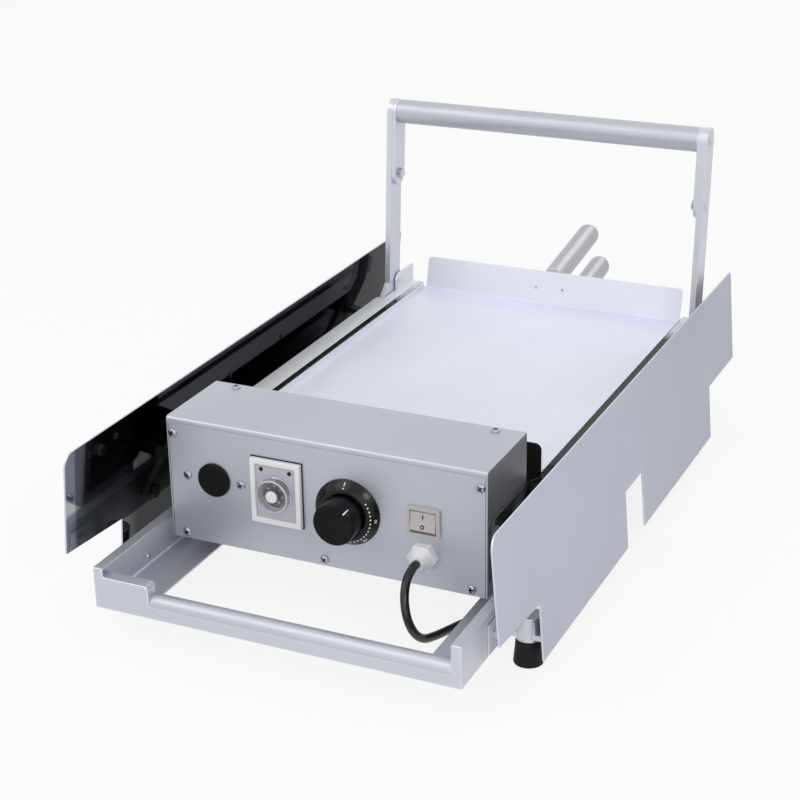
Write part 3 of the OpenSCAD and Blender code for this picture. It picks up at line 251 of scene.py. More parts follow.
def grained(name, color, rough, metallic, scale, stretch=EVEN, bump=0.02, change=0.04, gloss=0.5):
    material, tree, shader = new_finish(name)
    fine = noise(tree, scale, 4.0, stretch)
    tone = two_tone(tree, noise(tree, 7.0, 2.0), shade(color, 1 - change), shade(color, 1 + change))
    grain = rough_grain(tree, fine, rough)
    # Rounded metal edges get a painted highlight: a lighter colour and less roughness.
    if metallic:
        highlight_share = edge_wear(tree)
        tone = mix_tones(tree, highlight_share, tone, (*shade(color, HIGHLIGHT_SHADE), 1))
        grain = mix_values(tree, highlight_share, grain, rough * HIGHLIGHT_ROUGH)
    dress(tree, shader, tone, grain, fine, bump, metallic)
    shader.inputs["Specular IOR Level"].default_value = gloss
    return material


finishes = {}
print("worn edges: colour times", HIGHLIGHT_SHADE, "and roughness times", HIGHLIGHT_ROUGH)

# %% [markdown]
# Metals first. Each row gives the colour, the roughness, how metallic the surface is, the size of the
# grain, the way it runs and the strength of its bump.

# %% Metals
ALONG_X = (0.03, 1, 1)
ALONG_Y = (1, 0.03, 1)
METALS = {
    "box_steel": ((0.5, 0.515, 0.57), 0.42, 0.75, 900, ALONG_X),
    "bright_steel": ((0.55, 0.56, 0.58), 0.3, 1.0, 200),
    "screw_steel": ((0.4, 0.41, 0.44), 0.22, 1.0, 300),
    "bracket_steel": ((0.62, 0.64, 0.7), 0.42, 0.7, 300),
    "platen_iron": ((0.09, 0.09, 0.095), 0.55, 0.6, 250, EVEN, 0.2),
    "element_steel": ((0.2, 0.2, 0.21), 0.5, 1.0, 300),
    "copper_tube": ((0.6, 0.33, 0.2), 0.35, 1.0, 200),
    "pin_brass": ((0.72, 0.55, 0.25), 0.3, 1.0, 200),
    "lever_aluminium": ((0.66, 0.67, 0.74), 0.42, 0.6, 700, ALONG_X),
    "tube_aluminium": ((0.53, 0.54, 0.585), 0.45, 0.6, 700, ALONG_X),
    "carriage_steel": ((0.6, 0.62, 0.68), 0.45, 0.55, 500, EVEN, 0.04),
    "bar_steel": ((0.52, 0.54, 0.59), 0.42, 0.6, 500, ALONG_X),
    "tray_steel": ((0.82, 0.835, 0.93), 0.42, 0.35, 900, ALONG_Y),
    "grip_aluminium": ((0.44, 0.45, 0.48), 0.36, 0.7, 700, ALONG_Y),
}
for name, values in METALS.items():
    finishes[name] = grained(name, *values)
print(len(METALS), "metals")

# %% [markdown]
# Paint, rubber, plastic and printed marks follow. Their rows give the colour, the roughness, the size of
# the grain and, where it differs, the bump, the change of colour and the gloss.

# %% Paint, rubber and plastic
PLAIN = {
    "black_steel": ((0.01, 0.01, 0.011), 0.45, 400, 0.02, 0.2, 0.2),
    "foot_rubber": ((0.008, 0.008, 0.009), 0.6, 500, 0.1, 0.2, 0.2),
    "cord_rubber": ((0.008, 0.008, 0.009), 0.24, 600, 0.06, 0.2),
    "black_plastic": ((0.003, 0.003, 0.004), 0.26, 40, 0.0, 0.15, 0.14),
    "cone_plastic": ((0.003, 0.003, 0.004), 0.22, 40, 0.0, 0.15, 0.3),
    "matt_black": ((0.006, 0.006, 0.007), 0.5, 800, 0.02, 0.15, 0.12),
    "white_plastic": ((0.8, 0.795, 0.84), 0.4, 500, 0.02, 0.02),
    "face_grey": ((0.5, 0.49, 0.54), 0.45, 500),
    "grey_plastic": ((0.42, 0.43, 0.45), 0.45, 500),
    "beige_plastic": ((0.49, 0.46, 0.455), 0.42, 500, 0.02, 0.02),
    "tie_plastic": ((0.05, 0.05, 0.055), 0.45, 500),
    "mark_white": ((0.85, 0.85, 0.85), 0.5, 500),
    "mark_grey": ((0.06, 0.06, 0.07), 0.5, 500),
    "mark_black": ((0.012, 0.012, 0.012), 0.5, 500, 0.02, 0.04, 0.2),
    "mark_red": ((0.55, 0.2, 0.25), 0.4, 500),
    # Painted highlight for the clear dial's rims.
    "rim_plastic": ((0.56, 0.55, 0.62), 0.14, 60, 0.0),
}
for name, (color, rough, scale, *others) in PLAIN.items():
    finishes[name] = grained(name, color, rough, 0.0, scale, EVEN, *others)
print(len(PLAIN), "plain finishes")

# %% [markdown]
# The side panels are satin outside and polished inside. Inside, their dark greys are painted reflection and
# shade, with a pale painted reflection at the front end. The walls carry painted shade on their upright
# faces, on the ears beside the box and on a narrow band along the crown tray; the rest of their flanges is
# satin.
# Which look a spot takes depends on its place and on the way its face points.

# %% Where the sheet is dark
BOX_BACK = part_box("control_box_shell")[1].y
# Half-width of the band of painted shade along the crown tray.
SHADE_BAND_EDGE = 156.5 * MM
INWARDS = -0.95
UPRIGHT = 0.5


def inner_face(tree):
    """1 on the faces that look to the middle of the machine."""
    side = math_of(tree, "SIGN", axis_of(tree, "Object", "X"))
    outwards = math_of(tree, "MULTIPLY", axis_of(tree, "Normal", "X"), side)
    return math_of(tree, "LESS_THAN", outwards, INWARDS)


def heated_wall(tree):
    """1 where shade is painted: on upright faces, on the ears and on the band along the tray."""
    lying = math_of(tree, "ABSOLUTE", axis_of(tree, "Normal", "Z"))
    upright = math_of(tree, "LESS_THAN", lying, UPRIGHT)
    ear = math_of(tree, "LESS_THAN", axis_of(tree, "Object", "Y"), BOX_BACK)
    off_middle = math_of(tree, "ABSOLUTE", axis_of(tree, "Object", "X"))
    band = math_of(tree, "LESS_THAN", off_middle, SHADE_BAND_EDGE)
    return math_of(tree, "MAXIMUM", math_of(tree, "MAXIMUM", upright, ear), band)


# The band along the tray is painted shade.
print("hot band up to", SHADE_BAND_EDGE, "m")

# %% [markdown]
# The painted reflection and shade depend on the place along the machine: a row of stops gives cool greys
# from the front end of the panels to their back end. Edges get a painted highlight, a lighter tone of the
# sheet.

# %% Two-sided sheet
PANEL_ENDS = [corner.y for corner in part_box("left_side_panel")]
POLISHED_ROUGH = 0.05
GRAZING_TINT = 0.5


def along_machine(tree, stops):
    ends = {"From Min": PANEL_ENDS[0], "From Max": PANEL_ENDS[1]}
    part = add_node(tree, "ShaderNodeMapRange", {"Value": axis_of(tree, "Object", "Y"), **ends})
    ramp = add_node(tree, "ShaderNodeValToRGB", {"Fac": part.outputs["Result"]})
    elements = ramp.color_ramp.elements
    for place, _ in stops[1:-1]:
        elements.new(place)
    for element, (place, grey) in zip(elements, stops):
        element.position = place
        element.color = (grey * 0.97, grey, grey * 1.05, 1)
    return ramp.outputs["Color"]


def two_sided(name, dark_where, outer, rough, stops, metallic):
    material, tree, shader = new_finish(name)
    dark = dark_where(tree)
    fine = noise(tree, 900, 4.0, ALONG_Y)
    satin = two_tone(tree, noise(tree, 5.0, 2.0), shade(outer, 0.96), shade(outer, 1.04))
    # Where the mask is 1, the greys from the stops are painted reflection and shade.
    tone = mix_tones(tree, dark, satin, along_machine(tree, stops))
    # Rounded edges take a lighter tone of the outer sheet: painted highlight.
    tone = mix_tones(tree, edge_wear(tree), tone, (*shade(outer, 1.1), 1))
    grain = mix_values(tree, dark, rough_grain(tree, fine, rough), POLISHED_ROUGH)
    dress(tree, shader, tone, grain, fine, 0.03, metallic)
    shader.inputs["Specular Tint"].default_value = (GRAZING_TINT, GRAZING_TINT, GRAZING_TINT, 1)
    return material


# Painted reflection on the panels' inner faces: pale at the front end, dark greys behind it.
PANEL_PAINTED_REFLECTION = [
    (0.0, 0.45), (0.02, 0.45), (0.024, 0.2), (0.13, 0.16), (0.17, 0.06), (0.7, 0.04), (0.84, 0.08),
    (1.0, 0.12),
]
# Painted shade on the walls: dark greys over most of their length, pale at the back end.
WALL_PAINTED_SHADE = [(0.0, 0.12), (0.25, 0.12), (0.27, 0.04), (0.85, 0.05), (0.89, 0.8), (1.0, 0.85)]
finishes["panel_steel"] = two_sided("panel_steel", inner_face, (0.62, 0.65, 0.73), 0.38, PANEL_PAINTED_REFLECTION, 1.0)
finishes["wall_steel"] = two_sided("wall_steel", heated_wall, (0.9, 0.92, 0.98), 0.52, WALL_PAINTED_SHADE, 0.6)
print("two-sided sheet for panels and walls")

# %% [markdown]
# The timer's dial is clear moulding. It lets most of the light through, so the face shows behind it.

# %% Clear dial
CLEAR = {"Transmission Weight": 0.96, "Roughness": 0.06, "IOR": 1.3}
clear, clear_tree, clear_shader = new_finish("clear_plastic")
clear_tone = two_tone(clear_tree, noise(clear_tree, 300, 2.0), (0.8, 0.81, 0.84), (0.88, 0.88, 0.9))
clear_tree.links.new(clear_tone, clear_shader.inputs["Base Color"])
for socket, value in CLEAR.items():
    clear_shader.inputs[socket].default_value = value
finishes["clear_plastic"] = clear
print("clear plastic")

# %% [markdown]
# ## Putting a piece in the scene
#
# A finished piece is a plain mesh at the origin. It rides on a body of the machine, stands for the solids
# that it replaces, and names the finish it takes. Smooth shading stops at edges sharper than 35 degrees.

# %% Piece helpers
BODY_OF = {n: body for body, members in frame["record"]["behaviour"]["bodies"].items() for n in members}
SHARP = 35


def baked(holder, *helpers):
    """The holder's mesh with its modifiers applied. The holder and its helpers are removed."""
    graph = bpy.context.evaluated_depsgraph_get()
    made = bpy.data.meshes.new_from_object(holder.evaluated_get(graph))
    for thing in (holder, *helpers):
        bpy.data.objects.remove(thing)
    return made


def evened(mesh):
    """The same mesh with its normals weighed by face area, so that flat faces shade flat."""
    holder = linked("evened", mesh)
    even = holder.modifiers.new("even", "WEIGHTED_NORMAL")
    even.mode = "FACE_AREA"
    even.weight = 100
    even.keep_sharp = True
    return baked(holder)


def put(name, mesh, body, finish, stands_for=(), sharp=SHARP, even=False):
    for polygon in mesh.polygons:
        polygon.use_smooth = True
    mesh.set_sharp_from_angle(angle=math.radians(sharp))
    if even:
        mesh = evened(mesh)
    mesh.name = name
    mesh.materials.clear()
    mesh.materials.append(finishes[finish])
    piece = linked(name, mesh)
    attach(piece, body)
    if stands_for:
        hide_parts(*stands_for)
    return piece


# %% [markdown]
# Shapes are built point by point. A closed shape is welded and its faces are turned outwards.

# %% Meshes from points
def plain_mesh(bm):
    mesh = bpy.data.meshes.new("shape")
    bm.to_mesh(mesh)
    bm.free()
    return mesh


def closed_mesh(bm):
    bmesh.ops.remove_doubles(bm, verts=bm.verts, dist=1e-7)
    bmesh.ops.recalc_face_normals(bm, faces=bm.faces)
    return plain_mesh(bm)


print("mesh helpers")

# %% [markdown]
# Turned pieces, such as the knob and the plug, are a profile spun about an axis. The profile lists radius
# and height in millimetres; a matrix puts the axis in place.

# %% Turned pieces
QUARTER = math.pi / 2


def turned(profile, place=Matrix(), steps=64):
    bm = bmesh.new()
    rings = []
    for radius, height in profile:
        count = steps if radius else 1
        angles = [2 * math.pi * k / count for k in range(count)]
        rings.append([
            bm.verts.new((radius * MM * math.cos(a), radius * MM * math.sin(a), height * MM)) for a in angles
        ])
    for lower, upper in zip(rings, rings[1:]):
        for k in range(steps):
            corners = [
                lower[k % len(lower)], lower[(k + 1) % len(lower)],
                upper[(k + 1) % len(upper)], upper[k % len(upper)],
            ]
            corners = [c for i, c in enumerate(corners) if c not in corners[:i]]
            if len(corners) > 2:
                bm.faces.new(corners)
    mesh = closed_mesh(bm)
    mesh.transform(place)
    return mesh


def inset(radius, front, steps):
    """Points of a profile, given as steps in from a radius and back from a front face."""
    return [(radius - inwards, front - back) for inwards, back in steps]


print("turning helpers")

# %% [markdown]
# ## The power cord
#
# The lead leaves the gland, bends down in front of the box and runs back under the machine, where its
# spare length lies coiled and tied. Its line is the one that the CAD model follows: a smooth curve through
# the same points, then a flat spiral inwards and a second layer outwards.

# %% Cord line
CORD_MM = 7.5
TABLE = -BOX_UNDER / MM
CORD_Z = TABLE + CORD_MM / 2
COIL_LIFT = 1.2
COIL_GAP = 0.6
COIL_Z = CORD_Z + COIL_LIFT
LAY_X = 133
COIL_RADIUS = 54.0
COIL_TURNS = 2.75
COIL_STEP = CORD_MM + COIL_GAP
COIL_X = LAY_X - COIL_RADIUS
COIL_Y = 200.0
POINTS_PER_TURN = 48
CLIMB_TURNS = 0.5

route = [
    (93.5, -16, 28.5), (93.5, -23.5, 28.5), (95, -39, 24.5), (98, -50, 14), (102, -54, -0.5),
    (106, -50, -15), (109.5, -39.5, -25.5), (113, -24, -30.5), (116.5, -6, -34), (120, 13, -37.5),
    (124, 33, -42), (128, 54, -47.5), (131.5, 76, -51.5), (LAY_X, 98, CORD_Z), (LAY_X, 120, CORD_Z),
    (LAY_X, 142, CORD_Z), (LAY_X, 164, COIL_Z), (LAY_X, COIL_Y - CORD_MM, COIL_Z),
]


def smooth_line(points, steps=5):
    """A Catmull-Rom curve through the points."""
    line = []
    ends = [points[0], *points, points[-1]]
    for a, b, c, d in zip(ends, ends[1:], ends[2:], ends[3:]):
        bend = 2 * a - 5 * b + 4 * c - d
        twist = 3 * b - a - 3 * c + d
        for t in (i / steps for i in range(steps)):
            line.append(0.5 * (2 * b + (c - a) * t + bend * t ** 2 + twist * t ** 3))
    return [*line, points[-1]]


def coil_point(t):
    """The coil's place after t turns, with a smooth climb to the second layer half-way."""
    radius = COIL_RADIUS - COIL_STEP * min(t, 2 * COIL_TURNS - t)
    s = max(0.0, min(1.0, (t - COIL_TURNS) / CLIMB_TURNS + 0.5))
    climb = COIL_STEP * s * s * (3 - 2 * s)
    turn = 2 * math.pi * t
    return from_box(COIL_X + radius * math.cos(turn), COIL_Y + radius * math.sin(turn), COIL_Z + climb)


cord_line = smooth_line([from_box(*p) for p in route])
for place in cord_line:
    place.z = max(place.z, CORD_MM * MM / 2)
coil_line = [coil_point(i / POINTS_PER_TURN) for i in range(int(2 * COIL_TURNS * POINTS_PER_TURN) + 1)]
coil_tail = coil_line[-1] - Vector((0, 3 * CORD_MM * MM, 0))
whole_line = [*cord_line, *coil_line, (coil_line[-1] + coil_tail) / 2, coil_tail]

# %% [markdown]
# The lead itself is a curve with a round section.

# %% Cord, as a round curve
cord_curve = bpy.data.curves.new("power_lead", "CURVE")
cord_curve.dimensions = "3D"
cord_curve.bevel_depth = CORD_MM * MM / 2
cord_curve.bevel_resolution = 5
cord_curve.use_fill_caps = True
spline = cord_curve.splines.new("POLY")
spline.points.add(len(whole_line) - 1)
for point, place in zip(spline.points, whole_line):
    point.co = (*place, 1)
spline.use_smooth = True
cord_curve.materials.append(finishes["cord_rubber"])
lead = linked("power_lead", cord_curve)
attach(lead, "machine")
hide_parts("power_cord", "power_cord_coil")
print(len(whole_line), "points on the lead")

# %% [markdown]
# The plug is one turned moulding: a ribbed sleeve that keeps the lead from kinking, a waist to hold it by
# and a round face with flat pins. Its axis is the lead's last stretch.

# %% Plug
SLEEVE_RIBS = 6
RIB_PITCH = 4
FIRST_RIB_R = 4.6
RIB_GROWTH = 0.25
RIB_DEPTH = 0.6
plug_axis = Matrix.Translation(coil_tail) @ Matrix.Rotation(QUARTER, 4, "X")
plug_r = size_of("power_plug").x / 2
plug_length = size_of("power_plug").y
sleeve = []
for rib in range(SLEEVE_RIBS):
    foot = rib * RIB_PITCH
    crest = FIRST_RIB_R + RIB_GROWTH * rib
    groove = crest - RIB_DEPTH
    sleeve += [(crest, foot), (crest, foot + 2.4), (groove, foot + 2.6), (groove, foot + 3.8)]
grip = [
    (6.6, 24), (plug_r - 4.2, 29), (plug_r - 1.2, 33), (plug_r - 0.4, 37), (plug_r - 1.0, 41),
    (plug_r - 1.0, 47), (plug_r, 50), *inset(plug_r, plug_length, ((0, 2.4), (0.8, 0.8), (2.4, 0))),
]
plug_profile = [(0, 0), *sleeve, *grip, (0, plug_length)]
plug = put("plug_moulding", turned(plug_profile, plug_axis), "machine", "cord_rubber", ["power_plug"])
print("plug of", round(plug_length, 1), "mm")

# %% [markdown]
# ## Folded and cut sheet
#
# The sheets and bars keep the shape of their solids. What a solid lacks is the soft edge that catches the
# light, so a copy of each mesh is welded, its flat faces are joined, and its edges are rounded a little.
# The rounded faces get the attribute that places the painted edge highlight on the metals.

# %% Soft edges
WELD = 2e-6
FLAT_ANGLE = math.radians(0.5)
EDGE_ANGLE = math.radians(40)
SOFT_SHARP = 50
CORNER_STEPS = 6


def end_corners(bm, node):
    """The edges that run along Y at the four corners of a node's box."""
    low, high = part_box(node)
    edges = [e for e in bm.edges if abs((e.verts[0].co - e.verts[1].co).normalized().y) > 0.99]
    return [e for e in edges if all(
        min(abs(v.co[i] - low[i]), abs(v.co[i] - high[i])) < 1e-5 for v in e.verts for i in (0, 2)
    )]


def softened(node, radius, finish, steps=2, corner=0.0):
    bm = bmesh.new()
    bm.from_mesh(nodes[node].data)
    bmesh.ops.remove_doubles(bm, verts=bm.verts, dist=WELD)
    bmesh.ops.dissolve_limit(bm, angle_limit=FLAT_ANGLE, verts=bm.verts, edges=bm.edges)
    if corner:
        bmesh.ops.bevel(
            bm, geom=end_corners(bm, node), offset=corner * MM, segments=CORNER_STEPS, profile=0.5,
            affect="EDGES",
        )
    # The rounded faces are marked for the painted edge highlight.
    highlit = bm.faces.layers.float.new("edge")
    sharp = [e for e in bm.edges if len(e.link_faces) == 2 and e.calc_face_angle() > EDGE_ANGLE]
    rounded = bmesh.ops.bevel(
        bm, geom=sharp, offset=radius * MM, offset_type="OFFSET", segments=steps, profile=0.5, affect="EDGES",
        clamp_overlap=True,
    )
    for face in rounded["faces"]:
        face[highlit] = 1.0
    bmesh.ops.triangulate(bm, faces=[f for f in bm.faces if len(f.verts) > 4])
    return put(node + "_soft", plain_mesh(bm), BODY_OF[node], finish, [node], SOFT_SHARP, even=True)


print("edges over", round(math.degrees(EDGE_ANGLE)), "degrees are rounded")

# %% [markdown]
# The table gives the finish of each sheet or bar and the radius of its edges in millimetres.

# %% Sheets and bars
SHEETS = {
    "panel_steel": {"left_side_panel": 0.4, "right_side_panel": 0.4},
    "wall_steel": {"left_inner_wall": 0.4, "right_inner_wall": 0.4},
    "box_steel": {"control_box_shell": 0.7, "control_front_panel": 0.4, "control_top_cover": 0.7},
    "black_steel": {"heat_shield": 0.4},
    "carriage_steel": {
        "carriage_left_rail": 0.6, "carriage_right_rail": 0.6, "carriage_front_wall": 0.6,
        "carriage_strap": 0.4, "rail_guide_plates": 0.4,
    },
    "tray_steel": {"upper_tray": 0.5, "lower_tray": 0.5},
    "lever_aluminium": {
        "left_lever_arm": 0.8, "right_lever_arm": 0.8, "handle_brackets": 0.6, "front_links": 0.8,
    },
    "bracket_steel": {"foot_brackets": 0.8, "platen_angles": 0.3},
    "platen_iron": {"platen_top_plate": 0.6, "platen_bottom_plate": 0.6},
}
for finish, sheets in SHEETS.items():
    for node, radius in sheets.items():
        softened(node, radius, finish)
print(sum(map(len, SHEETS.values())), "sheets and bars with soft edges")

# %% [markdown]
# Bars, bolts, feet and small mouldings get the same care. The switch has round corners as well.

# %% Small pieces
SMALL = {
    "handle_tube": (0.8, "tube_aluminium"), "carriage_grip_bar": (1.0, "bar_steel"),
    "upper_tray_grip": (0.6, "grip_aluminium"), "lower_tray_grip": (0.6, "grip_aluminium"),
    "wall_bolts": (0.3, "bright_steel"), "pivot_studs": (0.3, "bright_steel"),
    "pivot_collars": (0.4, "bright_steel"), "panel_standoffs": (0.3, "black_steel"),
    "foot_studs": (0.3, "bright_steel"), "rubber_feet": (1.2, "foot_rubber"),
    "handle_bolts": (0.3, "bright_steel"), "carriage_pins": (0.3, "bright_steel"),
    "rail_guide_bolts": (0.1, "carriage_steel"), "timer_bezel": (0.9, "white_plastic"),
    "switch_rocker": (0.5, "beige_plastic"), "cable_gland": (0.7, "white_plastic"),
    "gland_lock_nut": (0.5, "white_plastic"), "switch_body": (0.7, "beige_plastic", 3, 3.0),
}
for node, values in SMALL.items():
    softened(node, *values)
print(len(SMALL), "small pieces with soft edges")

# %% [markdown]
# The pieces that stay as they came are inside the box and the platen, or lie with the coil. They only get
# their finish.

# %% Inner pieces
INNER = {
    "heating_elements": "element_steel", "timer_body": "face_grey", "thermostat_body": "grey_plastic",
    "thermostat_bulb": "copper_tube", "thermostat_shaft": "bright_steel", "contactor": "grey_plastic",
    "terminal_block": "white_plastic", "plug_pins": "pin_brass", "cord_tie": "tie_plastic",
}
for node, finish in INNER.items():
    nodes[node].data.materials.clear()
    nodes[node].data.materials.append(finishes[finish])
print(len(INNER), "inner pieces")

# %% [markdown]
# ## Screws
#
# The box is closed with pan-head screws with a cross recess. One head is turned and its cross is cut out.
# A second, thinner black cross in the recess is painted shade at its floor.

# %% One pan head
HEAD_R = 4.0
HEAD_HEIGHT = 2.4
DOME_STEPS = 8


def add_block(bm, size, centre=(0, 0, 0)):
    verts = bmesh.ops.create_cube(bm, size=1.0)["verts"]
    bmesh.ops.scale(bm, vec=Vector(size) * MM, verts=verts)
    bmesh.ops.translate(bm, vec=Vector(centre) * MM, verts=verts)


def cross(length, width, height, middle):
    bm = bmesh.new()
    for size in ((length, width, height), (width, length, height)):
        add_block(bm, size, (0, 0, middle))
    return plain_mesh(bm)


def pan_head():
    dome = [
        (HEAD_R * math.cos(a), HEAD_HEIGHT * (0.35 + 0.65 * math.sin(a)))
        for a in (QUARTER * i / DOME_STEPS for i in range(DOME_STEPS))
    ]
    head = linked("pan_head", turned([(0, 0), (HEAD_R, 0), *dome, (0, HEAD_HEIGHT)], steps=32))
    cutter = linked("cross", cross(length=5.0, width=1.2, height=2.4, middle=2.3))
    cut = head.modifiers.new("cross", "BOOLEAN")
    cut.operation = "DIFFERENCE"
    cut.solver = "EXACT"
    cut.use_self = True
    cut.object = cutter
    return baked(head, cutter)


head_mesh = pan_head()
recess_shade_mesh = cross(length=4.9, width=1.1, height=0.2, middle=1.3)
print("pan head with", len(head_mesh.polygons), "faces")

# %% [markdown]
# A Geometry Nodes tree sets a copy of a mesh on each point of a point mesh, turned by the point's own
# attribute. Its last nodes also serve a second tree further down.

# %% Tree that sets copies on points
def new_tree(name, inputs):
    tree = bpy.data.node_groups.new(name, "GeometryNodeTree")
    for socket, kind in inputs.items():
        tree.interface.new_socket(socket, in_out="INPUT", socket_type="NodeSocket" + kind)
    tree.interface.new_socket("Geometry", in_out="OUTPUT", socket_type="NodeSocketGeometry")
    return tree, tree.nodes.new("NodeGroupInput").outputs


def close_tree(tree, copy, points, rotation):
    """The end of a tree: copies on the points, turned and made real."""
    shape = add_node(tree, "GeometryNodeObjectInfo", {"Object": copy}).outputs["Geometry"]
    inputs = {"Points": points, "Instance": shape, "Rotation": rotation}
    instances = add_node(tree, "GeometryNodeInstanceOnPoints", inputs).outputs["Instances"]
    real = add_node(tree, "GeometryNodeRealizeInstances", {"Geometry": instances}).outputs["Geometry"]
    add_node(tree, "NodeGroupOutput", {"Geometry": real})
    return tree


def point_tree():
    tree, given = new_tree("copies_on_points", {"Geometry": "Geometry", "Copy": "Object"})
    facing = add_node(tree, "GeometryNodeInputNamedAttribute", {"Name": "facing"}, data_type="FLOAT_VECTOR")
    turn = add_node(tree, "FunctionNodeEulerToRotation", {"Euler": facing.outputs["Attribute"]})
    return close_tree(tree, given["Copy"], given["Geometry"], turn.outputs["Rotation"])


def run_tree(tree, points, mesh, **values):
    """What a tree makes of a point mesh and of a mesh to copy, as one plain mesh."""
    carrier = linked("points", points)
    values["Copy"] = linked("copy", mesh)
    modifier = carrier.modifiers.new("copies", "NODES")
    modifier.node_group = tree
    for item in tree.interface.items_tree:
        if item.name in values:
            modifier[item.identifier] = values[item.name]
    return baked(carrier, values["Copy"])


POINT_TREE = point_tree()


def copies(mesh, places):
    """Copies of a mesh at (point, euler) places."""
    points = bpy.data.meshes.new("points")
    points.from_pydata([point for point, _ in places], [], [])
    facing = points.attributes.new("facing", "FLOAT_VECTOR", "POINT")
    for item, (_, euler) in zip(facing.data, places):
        item.vector = euler
    return run_tree(POINT_TREE, points, mesh)


print(len(POINT_TREE.nodes), "nodes set copies on points")

# %% [markdown]
# The solids of the screws say where the heads go. Each head is turned a little further than the last.

# %% Screws on the box
def solid_centres(node):
    """The middle of each separate solid of a node, from left to right."""
    bm = bmesh.new()
    bm.from_mesh(nodes[node].data)
    bmesh.ops.remove_doubles(bm, verts=bm.verts, dist=WELD)
    left = set(bm.verts)
    centres = []
    while left:
        group, edge = set(), {left.pop()}
        while edge:
            group |= edge
            edge = {e.other_vert(v) for v in edge for e in v.link_edges} - group
        left -= group
        low = Vector(min(v.co[i] for v in group) for i in range(3))
        high = Vector(max(v.co[i] for v in group) for i in range(3))
        centres.append((low + high) / 2)
    bm.free()
    return sorted(centres, key=lambda centre: [round(c, 4) for c in centre])


FRONT_TURN, FRONT_STEP = 0.4, 0.9
TOP_TURN, TOP_STEP = 0.3, 0.8
cover_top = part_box("control_top_cover")[1].z
screw_places = []
for node in ("front_panel_screws", "buzzer_screws"):
    for n, centre in enumerate(solid_centres(node)):
        turn = (QUARTER, FRONT_TURN + FRONT_STEP * n, 0)
        screw_places.append((Vector((centre.x, PANEL_FACE, centre.z)), turn))
for n, centre in enumerate(solid_centres("top_cover_screws")):
    screw_places.append((Vector((centre.x, centre.y, cover_top)), (0, 0, TOP_TURN + TOP_STEP * n)))
put(
    "panel_screws", copies(head_mesh, screw_places), "machine", "screw_steel",
    ["front_panel_screws", "buzzer_screws", "top_cover_screws"],
)
# Painted shade: a black cross at the floor of each recess.
put("screw_recesses", copies(recess_shade_mesh, screw_places), "machine", "mark_black")
print(len(screw_places), "screws")

# %% [markdown]
# Small rivets hold the panels' brackets, and one sits in the left rail. Two short studs stand on the crown
# tray's back flange. They are turned, and the same tree sets them. A ray finds the face at each place.

# %% Rivets and studs
RIVET = [(0, -0.2), (3.0, -0.2), (3.0, 0.2), (2.7, 0.7), (2.0, 1.1), (1.0, 1.3), (0, 1.35)]
RIVET_PLACES = ((-59.7, 95.8), (-18.1, 96.5), (183.8, 78.5), (287.8, 81.5))
RAIL_RIVET = (0, -17, -17)
STUD = [(0, -0.2), (1.5, -0.2), (1.5, 1.4), (1.1, 1.9), (0, 2.0)]
STUD_PLACES = ((-16.7, 72.5), (13.4, 73.0))
OVER_TRAY_Y = 300


def ray_hit(node, start, way):
    """Where a ray meets a node; its start is measured from the box."""
    mesh = nodes[node].data
    tree = BVHTree.FromPolygons([v.co for v in mesh.vertices], [p.vertices for p in mesh.polygons])
    return tree.ray_cast(from_box(*start), Vector(way))[0]


rivet_places = []
for side, panel in ((-1, "left_side_panel"), (1, "right_side_panel")):
    for y, z in RIVET_PLACES:
        rivet_places.append((ray_hit(panel, (0, y, z), (side, 0, 0)), (0, -side * QUARTER, 0)))
rivet_mesh = turned(RIVET, steps=20)
put("panel_rivets", copies(rivet_mesh, rivet_places), "machine", "matt_black")
rail_spot = ray_hit("carriage_left_rail", RAIL_RIVET, (-1, 0, 0))
put("rail_rivet", copies(rivet_mesh, [(rail_spot, (0, QUARTER, 0))]), "carriage", "bright_steel")
stud_places = [
    (ray_hit("upper_tray", (x, OVER_TRAY_Y, z), (0, 1, 0)), (QUARTER, 0, 0)) for x, z in STUD_PLACES
]
put("flange_studs", copies(turned(STUD, steps=16), stud_places), "crown_tray", "bright_steel")
print(len(rivet_places) + 1, "rivets and", len(stud_places), "studs")

# %% [markdown]
# Each rail of the carriage is folded from one sheet. The inside of the fold shows a fine bright line; a
# slim fillet along the corner, in the crown tray's paler finish, is a painted highlight there.

# %% Fold lines of the rails
RAIL_SHEET = 1.5
FILLET = 1.4
WALL_STOP = 12.0


def drawn_out(outline, width):
    """A closed outline in the YZ plane, in millimetres, drawn out along X to a width."""
    bm = bmesh.new()
    first, last = (
        [bm.verts.new((side * width * MM / 2, y * MM, z * MM)) for y, z in outline] for side in (-1, 1)
    )
    bm.faces.new(first)
    bm.faces.new(last)
    for n in range(len(outline)):
        bm.faces.new((first[n - 1], first[n], last[n], last[n - 1]))
    return closed_mesh(bm)


for side, name in ((-1, "left"), (1, "right")):
    rail = f"carriage_{name}_rail"
    rail_low, rail_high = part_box(rail)
    corner_x = (rail_low.x if side < 0 else rail_high.x) - side * RAIL_SHEET * MM
    corner = Vector((corner_x, (rail_low.y + rail_high.y) / 2, rail_low.z + RAIL_SHEET * MM))
    fold_length = size_of(rail).y - 2 * WALL_STOP
    fold = drawn_out([(0, 0), (side * FILLET, 0), (0, FILLET)], fold_length)
    fold.transform(Matrix.Translation(corner) @ Matrix.Rotation(QUARTER, 4, "Z"))
    # The fillet takes the crown tray's paler finish: a painted highlight along the fold.
    put(f"{name}_rail_fold", fold, "carriage", "tray_steel")
print("two fold lines,", round(fold_length), "mm long")

# %% [markdown]
# The front panel is let in between the shell's side walls, which leaves a fine dark line along both of its
# edges. Two hair-thin strips stand for those seams.

